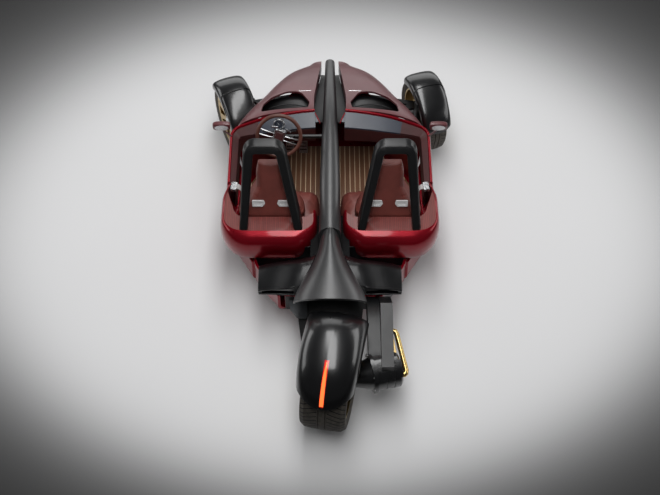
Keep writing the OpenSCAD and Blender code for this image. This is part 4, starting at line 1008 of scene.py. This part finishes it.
def rear_module():
    tyre("rear_tyre", r=330, w=320, rim=236, groove=24, body="wheel_rear", place=REAR_WHEEL)
    outer, inner = (
        REAR_FENDER_FORM.grid(depth, REAR_FENDER_STEPS, REAR_FENDER_STEPS) for depth in (0, REAR_FENDER_SKIN)
    )
    obj = piece("rear_fender_form", *slab(outer, inner), "gloss_black", "steer_rear", REAR_FENDER, bevel=2.5)
    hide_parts("rear_fender")
    # The band round the lamp glows as painted light spilling from the lamp
    halo_band = slab(lamp_strip(LAMP_OUT), lamp_strip(LAMP_IN))
    piece("lamp_halo_band", *halo_band, "tail_light", "steer_rear", REAR_FENDER, material=MAT["lamp_halo_glow"])
    hub = joined(disc(*REAR_HUB), *bolts(*REAR_BOLTS))
    piece("rear_hub", *hub, "steel", "wheel_rear", REAR_WHEEL)


# Distances along the motor's axis from the rear wheel's centre, and radii about it
CAN_X = 318
CAN_RIBS = ((14, 60), (86, 34), (132, 46))
RIB_ANGLES = (4, 62)
RIB_R = 131
RIB_T = 7
SLOT_X = 340
SLOT_LENGTH = 118
SLOT_ANGLES = (18, 34)
SLOT_SPREAD = 7
SLOT_R = 133.5
SLOT_T = 5


def can_plate(x0, x1, a0, a1, r, t):
    """A plate wrapped on the motor's can between two angles behind the top."""
    angles = [radians(mix(a0, a1, k / 12)) for k in range(13)]
    rows = [[(x, r * -sin(a), r * cos(a)) for a in angles] for x in (x0, x1)]
    return slab(rows, [[(x, y * (r - t) / r, z * (r - t) / r) for x, y, z in row] for row in rows])


def motor_details():
    """Ribs and slots on the can, and the bolts on its flange and its cap."""
    ribs = [can_plate(CAN_X + x, CAN_X + x + w, *RIB_ANGLES, RIB_R, RIB_T) for x, w in CAN_RIBS]
    piece("motor_ribs", *joined(*ribs), "gloss_black", "body", MOTOR, bevel=1.2)
    slots = [
        can_plate(SLOT_X, SLOT_X + SLOT_LENGTH, a, a + SLOT_SPREAD, SLOT_R, SLOT_T) for a in SLOT_ANGLES
    ]
    piece("motor_slots", *joined(*slots), "gloss_black", "body", MOTOR, bevel=1.0)
    piece("flange_bolts", *joined(*bolts(*FLANGE_BOLTS)), "steel", "body", MOTOR)
    cap = joined(disc(*MOTOR_CAP), *bolts(*CAP_BOLTS))
    piece("motor_cap", *cap, "satin_black", "body", MOTOR)


# The guard's front and rear edges: half width, place and height
GUARD_HALF_W = (250, 205)
GUARD_Y = (-640, -940)
GUARD_Z = (330, 215)
GUARD_CROWN = 26
GUARD_T = 8
TRAY_PLATE = ((-300, -650, 8), (-165, -650, 8), (-165, -800, 14), (-235, -800, 14), (-288, -725, 20))
TRAY_PLATE_Z = (336, 348)


def inner_guard():
    """The dark panel under the tail ahead of the rear wheel, and the plate over its left side."""
    shares = [j / 8 - 1 for j in range(17)]
    rows = []
    for k in range(13):
        t = k / 12
        half = mix(*GUARD_HALF_W, t)
        y = mix(*GUARD_Y, t)
        z = mix(*GUARD_Z, t)
        rows.append([(half * x, y, z + GUARD_CROWN * (1 - x * x)) for x in shares])
    piece("inner_guard", *slab(rows, lowered(rows, GUARD_T)), "satin_black", "body", bevel=2)
    plate = prism(rounded(TRAY_PLATE), *TRAY_PLATE_Z)
    piece("tray_plate", *plate, "steel", "body", bevel=2, material=MAT["cells"])


INNER_ARM_X = (262, 358)

# The inner arm's side outline: place along the car and height
INNER_ARM = ((-648, 300), (-648, 385), (-840, 470), (-1150, 452), (-1196, 420), (-1180, 392), (-860, 360))

# The bar's middle line: distance out from the loop's inner side, place and height
BAND_PATH = ((24, -1024, 468), (34, -1050, 462), (64, -1240, 412), (70, -1270, 404))
BAND_HALF_W = 15
BAND_HALF_T = 4


def rear_links():
    """The dark second arm inside the strut and the bar beside the gold loop."""
    arm = loft([[(x, y, z) for y, z in INNER_ARM] for x in INNER_ARM_X])
    piece("inner_arm", *arm, "satin_black", "body", bevel=5)
    loop_x = box_mm("side_loop")[0].x
    corners = ((-1, 1), (1, 1), (1, -1), (-1, -1))
    band = [
        [(loop_x + x + BAND_HALF_W * i, y, z + BAND_HALF_T * k) for i, k in corners] for x, y, z in BAND_PATH
    ]
    piece("copper_band", *loft(band), "bronze", "body", bevel=2)


for side, name in SIDES:
    front_corner(side, name)
rear_module()
motor_details()
inner_guard()
rear_links()


# Cockpit

BACK_W = (0.44, 0.47, 0.49, 0.52, 0.57, 0.58, 0.44, 0.29, 0.27, 0.21)
BACK_FULL_W = 455
BACK_LOW = box_mm("seat_back_right")[0].z
BACK_HIGH = box_mm("seat_back_right")[1].z
BACK_REAR_Y = -98
DECK_Z = 652
HOOP_TOP_Z = 1190
QUARTER_BACK_Y = -334

# The hoop's distance ahead of the rear quarter and its depth, at the deck and at its top
HOOP_AHEAD = (86, 390)
HOOP_DEPTH = (130, 84)
HOOP_GAP = 16


def back_rear_y(z):
    """The rear face of a seat back at a height."""
    rise = (z - DECK_Z) / (HOOP_TOP_Z - DECK_Z)
    return max(BACK_REAR_Y, QUARTER_BACK_Y + mix(*HOOP_AHEAD, rise) + mix(*HOOP_DEPTH, rise) + HOOP_GAP)


def back_half_w(z):
    return BACK_FULL_W * curve(BACK_W, (z - BACK_LOW) / (BACK_HIGH - BACK_LOW))


PAD_VOXEL = 7.5
CLOTH_FRAMES = 20


def remeshed(obj, size):
    """Gives a piece an even mesh of a size in millimetres."""
    m = obj.modifiers.new("remesh", "REMESH")
    m.mode = "VOXEL"
    m.voxel_size = size * MM
    bpy.context.view_layer.update()
    mesh = bpy.data.meshes.new_from_object(obj.evaluated_get(bpy.context.evaluated_depsgraph_get()))
    obj.modifiers.clear()
    obj.data = mesh


def puff(obj, cap):
    """Blows a cushion up as cloth under pressure, no point going further than the cap in millimetres."""
    start = [v.co.copy() for v in obj.data.vertices]
    m = obj.modifiers.new("cloth", "CLOTH")
    s = m.settings
    s.quality = 4
    s.use_pressure = True
    s.uniform_pressure_force = 4
    s.tension_stiffness = s.compression_stiffness = 12
    s.bending_stiffness = 1.5
    s.effector_weights.gravity = 0
    m.collision_settings.use_collision = False
    for k in range(1, CLOTH_FRAMES + 1):
        scene.frame_set(k)
    mesh = bpy.data.meshes.new_from_object(obj.evaluated_get(bpy.context.evaluated_depsgraph_get()))
    obj.modifiers.clear()
    scene.frame_set(1)
    for v, a in zip(mesh.vertices, start):
        step = v.co - a
        if step.length > cap * MM:
            v.co = a + step.normalized() * cap * MM
    obj.data = mesh


def pad_mesh(node, cap, shrink, extra=None):
    """A soft form over a CAD solid and an extra one: welded, drawn in, remeshed and blown up again."""
    bm = bmesh.new()
    bm.from_mesh(NODES[node].data)
    bmesh.ops.remove_doubles(bm, verts=bm.verts, dist=2e-5)
    bmesh.ops.recalc_face_normals(bm, faces=bm.faces)
    bm.normal_update()
    for v, step in [(v, v.normal * shrink * MM) for v in bm.verts]:
        v.co -= step
    if extra:
        points = [bm.verts.new(Vector(p) * MM) for p in extra[0]]
        added = [bm.faces.new([points[k] for k in face]) for face in extra[1]]
        bmesh.ops.recalc_face_normals(bm, faces=added)
    mesh = bpy.data.meshes.new(node)
    bm.to_mesh(mesh)
    bm.free()
    obj = bpy.data.objects.new(node + "_pad", mesh)
    scene.collection.objects.link(obj)
    remeshed(obj, PAD_VOXEL)
    puff(obj, cap)
    mesh = obj.data
    bpy.data.objects.remove(obj)
    return mesh


def twin(mesh):
    """The same mesh on the other side of the car."""
    other = mesh.copy()
    for v in other.vertices:
        v.co.x = -v.co.x
    other.flip_normals()
    return other


def cushion(node, mesh):
    """Puts a soft form in the place of a CAD solid."""
    obj = bpy.data.objects.new(node + "_pad", mesh)
    scene.collection.objects.link(obj)
    mesh.shade_smooth()
    obj.data.materials.clear()
    obj.data.materials.append(MAT["leather"])
    m = obj.modifiers.new("smooth", "SUBSURF")
    m.levels = m.render_levels = 1
    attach(obj, BODY_OF[node])
    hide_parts(node)


BOLSTER_X = 200
BOLSTER_Y = (-90, 300)
BOLSTER_LOW = 350
BOLSTER_H = 215
BOLSTER_HALF_W = 108

# The bolster's section: shares of its half width and height, with the corners' radii
BOLSTER_SECTION = (
    (-1, 0, 0.1), (1, 0, 0.1), (1, 0.86, 0.3), (0.4, 1, 0.3), (-0.55, 0.98, 0.3), (-1, 0.7, 0.3),
)


def bolster():
    """The inner side of the right seat's cushion, out to the spine."""
    section = rounded(BOLSTER_SECTION, 4)
    rings = []
    for k in range(13):
        t = k / 12
        full = (1 - max(0, (t - 0.55) / 0.45) ** 2.5 * 0.55) * (1 - max(0, (0.2 - t) / 0.2) ** 2 * 0.3)
        half = BOLSTER_HALF_W * (0.9 + 0.1 * full)
        y = mix(*BOLSTER_Y, t)
        high = BOLSTER_LOW + BOLSTER_H * full
        rings.append([(BOLSTER_X + half * x, y, mix(BOLSTER_LOW, high, z)) for x, z in section])
    return loft(rings)


SHELL_Z = (664, 930)
SHELL_SHARE = 0.62
SHELL_T = 8
SHELL_OUT = 5
PLATE_X = 92
PLATE_Z = 752
PLATE_OUT = 13
PLATE_TILT = 72
PLATE_CORNERS = ((-46, -22, 6), (30, -22, 6), (48, 2, 6), (40, 30, 6), (-46, 30, 6))
PLATE_T = 8
PLATE_FLOOR = 3

# Width, depth, height and corner radius of the belt's anchor, its place on the right and its turn
ANCHOR = (44, 78, 30, 11)
ANCHOR_AT = (716, 150, 690)
ANCHOR_TURN = 6
STRAP_X = 702
STRAP_RUN = 44
STRAP_W = 48
STRAP_CROWN = 18
STRAP_FALL = 36
STRAP_T = 2.5


def seat_shell(name, x0):
    """The veneer shell on the back of a seat."""
    shares = [j / 8 - 1 for j in range(17)]
    rows = []
    for i in range(25):
        z = mix(*SHELL_Z, i / 24)
        close = 1 - max(0, (i - 20) / 4) ** 2 * 0.35
        half = back_half_w(z) * SHELL_SHARE * close
        y = back_rear_y(z) - SHELL_OUT
        rows.append([(x0 + half * s, y + SHELL_OUT * abs(s) ** 4, z) for s in shares])
    front = [[(x, y + SHELL_T, z) for x, y, z in r] for r in rows]
    piece(f"seat_shell_{name}", *slab(rows, front), "veneer", "body", bevel=1.5)


def harness_plate(name, x0, hand):
    """One of the two dished plates on a seat's back, -1 to the left and 1 to the right of its middle."""
    corners = [(-hand * x, z, r) for x, z, r in PLATE_CORNERS]
    ring = rounded(corners[::-1] if hand > 0 else corners)
    inner = [(x * 0.62, 3 + (z - 3) * 0.56) for x, z in ring]
    dish = loft([
        [(x, z, height) for x, z in outline]
        for outline, height in ((ring, 0), (ring, PLATE_T), (inner, PLATE_T), (inner, PLATE_FLOOR))
    ])
    place = at(x0 + hand * PLATE_X, back_rear_y(PLATE_Z) - PLATE_OUT, PLATE_Z, rx=PLATE_TILT)
    piece(f"harness_plate_{name}", *moved(dish, place), "steel", "body", material=MAT["pale"])


def seat(side, name):
    x0 = side * SEAT_X
    seat_shell(name, x0)
    for hand in (-1, 1):
        harness_plate(f"{name}_{'in' if hand * side < 0 else 'out'}", x0, hand)
    x, y, z = ANCHOR_AT
    anchor = moved(block(*ANCHOR), at(side * x, y, z, rz=side * ANCHOR_TURN))
    piece(f"belt_anchor_{name}", *anchor, "steel", "body", bevel=4)
    strap = []
    for k in range(11):
        t = k / 10
        height = z + STRAP_CROWN * sin(pi * t) - STRAP_FALL * t
        strap.append([(side * (STRAP_X - STRAP_RUN * t), y + STRAP_W * e, height) for e in (-0.5, 0, 0.5)])
    belt = slab(strap, lowered(strap, STRAP_T))
    piece(f"belt_{name}", *belt, "steel", "body", material=MAT["webbing"])


def circle(r, n, z=0):
    return [(r * cos(2 * pi * k / n), r * sin(2 * pi * k / n), z) for k in range(n)]


RIM_R = 165
RIM_BAR_R = 15
SPOKE_R = 5.5
SPOKES_Y = (-20, 12)

# The spokes and stalks on the right: a spoke's distance out, spread and height, and points on the others
SPOKE = ((38, 1, 6), (80, 1.15, 9), (120, 1.25, 6), (158, 1.3, 0))
LOW_SPOKE = ((14, -50, 4), (18, -110, 6), (20, -158, 0))
STALK = ((24, 8, -52), (90, 18, -48), (128, 26, -40))
STALK_R = 5

# Outlines with their corners' radii, and the heights between which they stand
STEERING_HUB = ((-40, -62, 12), (40, -62, 12), (46, 54, 12), (-46, 54, 12))
STEERING_HUB_Z = (-18, 16)
STEERING_PAD = ((-27, -46, 8), (27, -46, 8), (30, 34, 8), (-30, 34, 8))
STEERING_PAD_Z = (14, 24)

# Width, depth, height and corner radius of the keys and of the paddles beside them
KEY = (16, 9, 8, 3)
KEYS_X = (-26, 0, 26)
KEY_Y = 45
KEY_Z = 19
PADDLE = (52, 12, 10, 4)
PADDLE_AT = (52, 62, 2)
PADDLE_TURN = -14


def steering():
    """The wheel's rim, spokes, hub and keys, and the stalks behind it."""
    rim = tube(circle(RIM_R, 72), RIM_BAR_R, 16, close=True)
    obj = piece("steering_rim", *rim, "leather", "steering", WHEEL, material=MAT["wheel_leather"])
    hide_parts("steering_wheel")
    bars = []
    for side in (-1, 1):
        for y in SPOKES_Y:
            bars.append(tube([(side * x, y * spread, z) for x, spread, z in SPOKE], SPOKE_R, 10))
    for side in (-1, 1):
        bars.append(tube([(side * x, y, z) for x, y, z in LOW_SPOKE], SPOKE_R, 10))
    piece("steering_spokes", *joined(*bars), "steel", "steering", WHEEL)
    hub = prism(rounded(STEERING_HUB), *STEERING_HUB_Z)
    piece("steering_hub", *hub, "steel", "steering", WHEEL, bevel=4)
    pad = prism(rounded(STEERING_PAD), *STEERING_PAD_Z)
    piece("steering_pad", *pad, "lining", "steering", WHEEL, bevel=4)
    keys = [moved(block(*KEY), at(x, KEY_Y, KEY_Z)) for x in KEYS_X]
    for side in (-1, 1):
        x, y, z = PADDLE_AT
        keys.append(moved(block(*PADDLE), at(side * x, y, z, rz=side * PADDLE_TURN)))
    piece("steering_keys", *joined(*keys), "steel", "steering", WHEEL, bevel=1.5)
    stalks = [tube([(side * x, y, z) for x, y, z in STALK], STALK_R, 10) for side in (-1, 1)]
    piece("column_stalks", *joined(*stalks), "satin_black", "body", COLUMN)


DIAL_AT = (0, 0.072, -0.056)
DIAL_R = 40
DIAL_RING_R = 5
DIAL_FACE = ((38, 0), (38, 1.5), (20, 3.5), (2, 4))
TICK_COUNT = 13
TICK_START = -150
TICK_SWEEP = 240
TICK_R = 31
TICK_Z = 3.4
TICK_W = 1.6
TICK_LENGTHS = (9, 6, 6)
TICK_T = 1
TICK_CORNER_R = 0.5
NEEDLE = (1.8, 26, 1, 0.6)
NEEDLE_AT = (-6, 8, 5)
NEEDLE_TURN = 38


def dial():
    """Ring, face, ticks and needle of the round gauge."""
    place = COLUMN @ Matrix.Translation(DIAL_AT)
    ring = tube(circle(DIAL_R, 48, 1), DIAL_RING_R, 12, close=True)
    piece("gauge_ring", *ring, "steel", "body", place)
    piece("gauge_face", *loft([circle(r, 40, z) for r, z in DIAL_FACE]), "dash_gloss", "body", place)
    marks = []
    for k in range(TICK_COUNT):
        angle = TICK_START + TICK_SWEEP * k / (TICK_COUNT - 1)
        a = radians(angle)
        mark = block(TICK_W, TICK_LENGTHS[k % 3], TICK_T, TICK_CORNER_R)
        marks.append(moved(mark, at(TICK_R * cos(a), TICK_R * sin(a), TICK_Z, rz=angle - 90)))
    marks.append(moved(block(*NEEDLE), at(*NEEDLE_AT, rz=NEEDLE_TURN)))
    piece("gauge_marks", *joined(*marks), "steel", "body", place, material=MAT["pale"])


# Points on the right-hand side: the dash's end beside the spine by rows, and the red edge round it
DASH_TIP = (
    ((160, 806, 829), (128, 806, 829)),
    ((150, 770, 800), (106, 778, 806)),
    ((140, 735, 772), (84, 742, 776)),
)
DASH_TIP_T = (4, 8)
DASH_EDGE = ((150, 812, 834), (128, 808, 832), (106, 780, 809), (82, 742, 778), (76, 728, 766))
DASH_EDGE_R = 5
# Place of the dark sheets beside the spine that stand in as painted shade in the gap by the seats
SPINE_SHADE_X = (58, 84, 110, 142)
SPINE_SHADE_Y = (-20, -120, -220, -320, -420, -520)
SPINE_SHADE_Z = 520
SPINE_SHADE_SLOPE = 0.4
SPINE_SHADE_T = 10
BULKHEAD_Y = -306
BULKHEAD_BOW = 4
BULKHEAD_Z = (330, 400, 470, 540)
BULKHEAD_STEP = 50
BULKHEAD_T = 8
MIRROR_X = 826
MIRROR_Z = 850
MIRROR_HALF_W = 52
MIRROR_HALF_H = 26


def trims():
    """The dash's dark ends and red edges, dark sheets beside the spine that stand in as painted shade, the
    bulkhead and the mirrors' glass.
    """
    back, down = DASH_TIP_T
    low = [[(x, y + back, z - down) for x, y, z in r] for r in DASH_TIP]
    piece("dash_tips", *mirrored(slab(DASH_TIP, low)), "dash_gloss", "body", bevel=1.5)
    piece("dash_edges", *mirrored(tube(DASH_EDGE, DASH_EDGE_R, 8)), "body_red", "body", levels=1)
    # Painted shade: black sheets laid in the gap beside the spine
    shade_sheet = [[(x, y, SPINE_SHADE_Z + SPINE_SHADE_SLOPE * x) for x in SPINE_SHADE_X] for y in SPINE_SHADE_Y]
    piece("spine_shade_sheets", *mirrored(slab(shade_sheet, lowered(shade_sheet, SPINE_SHADE_T))), "satin_black", "body")
    across = [k * BULKHEAD_STEP for k in range(-11, 12)]
    wall = [[(x, BULKHEAD_Y - BULKHEAD_BOW * (x / 500) ** 2, z) for x in across] for z in BULKHEAD_Z]
    front = [[(x, y + BULKHEAD_T, z) for x, y, z in r] for r in wall]
    piece("bulkhead", *slab(wall, front), "satin_black", "body")
    face_y = box_mm("mirrors")[0].y - 0.8
    for side, name in SIDES:
        glass = []
        for s in (1, 0.6, 0.05):
            outline = [(MIRROR_HALF_W * x * s, MIRROR_HALF_H * z * s) for x, z, _ in circle(1, 32)]
            glass.append([(side * (MIRROR_X + x), face_y - 1.5 * (1 - s), MIRROR_Z + z) for x, z in outline])
        piece(f"mirror_glass_{name}", *loft(glass), "steel", "body")


PEDALS_X = (-330, -220)
PEDAL_FACE_Y = 960
PEDAL_LEAN = radians(25)
PEDAL_RIB = (54, 5, 6, 2)
PEDAL_RIB_COUNT = 5
PEDAL_RIB_LOW = 30
PEDAL_RIB_PITCH = 26
PEDAL_RIB_LIFT = 3
PEDAL_RIB_SINK = 2


def pedal_ribs():
    """Grip ribs across the pedals' leaning faces."""
    low = box_mm("pedals")[0].z
    ribs = []
    for x in PEDALS_X:
        for k in range(PEDAL_RIB_COUNT):
            z = PEDAL_RIB_LOW + PEDAL_RIB_PITCH * k
            y = PEDAL_FACE_Y + (z + PEDAL_RIB_LIFT) * tan(PEDAL_LEAN) - PEDAL_RIB_SINK
            ribs.append(moved(block(*PEDAL_RIB), at(x, y, low + z)))
    piece("pedal_ribs", *joined(*ribs), "satin_black", "body")


# Each soft part: how far cloth may swell, how far it is drawn in first, and a form joined to it
for node, cap, shrink, extra in (("seat_cushion", 22, 14, bolster()), ("seat_back", 16, 10, None)):
    mesh = pad_mesh(node + "_right", cap, shrink, extra)
    cushion(node + "_left", twin(mesh))
    cushion(node + "_right", mesh)
for side, name in SIDES:
    seat(side, name)
steering()
dial()
trims()
pedal_ribs()


# Stage: a pale floor with painted shade darkening it to the sides, soft studio lights and the camera

CAMERA_AT = Vector((0, -5.277, 6.880))
CAMERA_AIM = Vector((0, -0.37, 0.6))
FLOOR_HALF = 20
FLOOR_TONE = (0.66, 0.66, 0.665)
# Floor colour out beyond the oval: painted shade where the light falls off
FLOOR_PAINTED_SHADE_TONE = (0.02, 0.02, 0.02)

# The oval on the floor as the camera sees it: slope and offset of the distance and of the place along Y
OVAL_DEPTH = (0.616, 8.67)
OVAL_ALONG = (3.94, -0.39)
OVAL_ACROSS = 3.33
OVAL_REACH = 1.1
OVAL_POWER = 12.0
SENSOR_W = 36
LENS = 60
PHOTO_W = 660
SHIFT_PIXELS = 1.5


def backdrop():
    """Pale floor with painted shade: its colour darkens outside an oval round the car, as light falling off
    would darken it.
    """
    s = Shader("floor")
    depth = s.math("MULTIPLY_ADD", s.axis(1), *OVAL_DEPTH)
    across = s.math("DIVIDE", s.math("MULTIPLY", s.axis(0), OVAL_ACROSS), depth)
    along = s.math("DIVIDE", s.math("MULTIPLY_ADD", s.axis(1), *OVAL_ALONG), depth)
    squares = s.math("ADD", s.math("MULTIPLY", across, across), s.math("MULTIPLY", along, along))
    fall = s.math("POWER", s.math("MULTIPLY", s.math("SQRT", squares), 1 / OVAL_REACH), OVAL_POWER)
    # Painted shade: the floor's colour is mixed towards the dark tone outside the oval round the car
    painted_light_share = s.math("DIVIDE", 1.0, s.math("ADD", fall, 1.0))
    s.bump(s.noise(120.0), 0.01)
    mesh = bpy.data.meshes.new("floor")
    corners = ((-1, -1), (1, -1), (1, 1), (-1, 1))
    mesh.from_pydata([(FLOOR_HALF * x, FLOOR_HALF * y, 0) for x, y in corners], [], [(0, 1, 2, 3)])
    floor = bpy.data.objects.new("floor", mesh)
    scene.collection.objects.link(floor)
    mesh.materials.append(s.finish(s.mix(painted_light_share, FLOOR_PAINTED_SHADE_TONE, FLOOR_TONE), 0.6, spec=0.2))


def lights():
    """One broad fill that stays out of reflections, and four soft boxes that draw the highlights."""
    world = bpy.data.worlds.new("world")
    scene.world = world
    world.use_nodes = True
    sky = world.node_tree.nodes["Background"].inputs
    sky["Color"].default_value = (0.95, 0.97, 1.0, 1)
    sky["Strength"].default_value = 0.06
    for name, place, aim, size, power, shines in (
        ("fill", (0, -1.6, 6.0), (0, -1.6, 0), (5.0, 5.0), 80, False),
        ("long_box", (0, 0.4, 5.4), (0, 0.4, 0), (1.5, 8.6), 260, True),
        ("front_wall", (0, 7.0, 2.0), (0, 0, 0.8), (8.0, 3.0), 90, True),
        ("left_box", (-4.6, 1.2, 2.4), (0, -0.2, 0.6), (6.5, 2.0), 95, True),
        ("right_box", (4.6, 1.2, 2.4), (0, -0.2, 0.6), (6.5, 2.0), 95, True),
    ):
        light = bpy.data.lights.new(name, "AREA")
        light.shape = "RECTANGLE"
        light.size, light.size_y = size
        light.energy = power
        lamp = bpy.data.objects.new(name, light)
        scene.collection.objects.link(lamp)
        lamp.location = place
        lamp.rotation_euler = (Vector(aim) - Vector(place)).to_track_quat("-Z", "Y").to_euler()
        lamp.visible_glossy = shines


def viewpoint():
    data = bpy.data.cameras.new("camera")
    data.sensor_width = SENSOR_W
    data.lens = LENS
    data.shift_y = SHIFT_PIXELS / PHOTO_W
    camera = bpy.data.objects.new("camera", data)
    scene.collection.objects.link(camera)
    camera.location = CAMERA_AT
    camera.rotation_euler = (CAMERA_AIM - CAMERA_AT).to_track_quat("-Z", "Y").to_euler()
    scene.camera = camera


backdrop()
lights()
viewpoint()
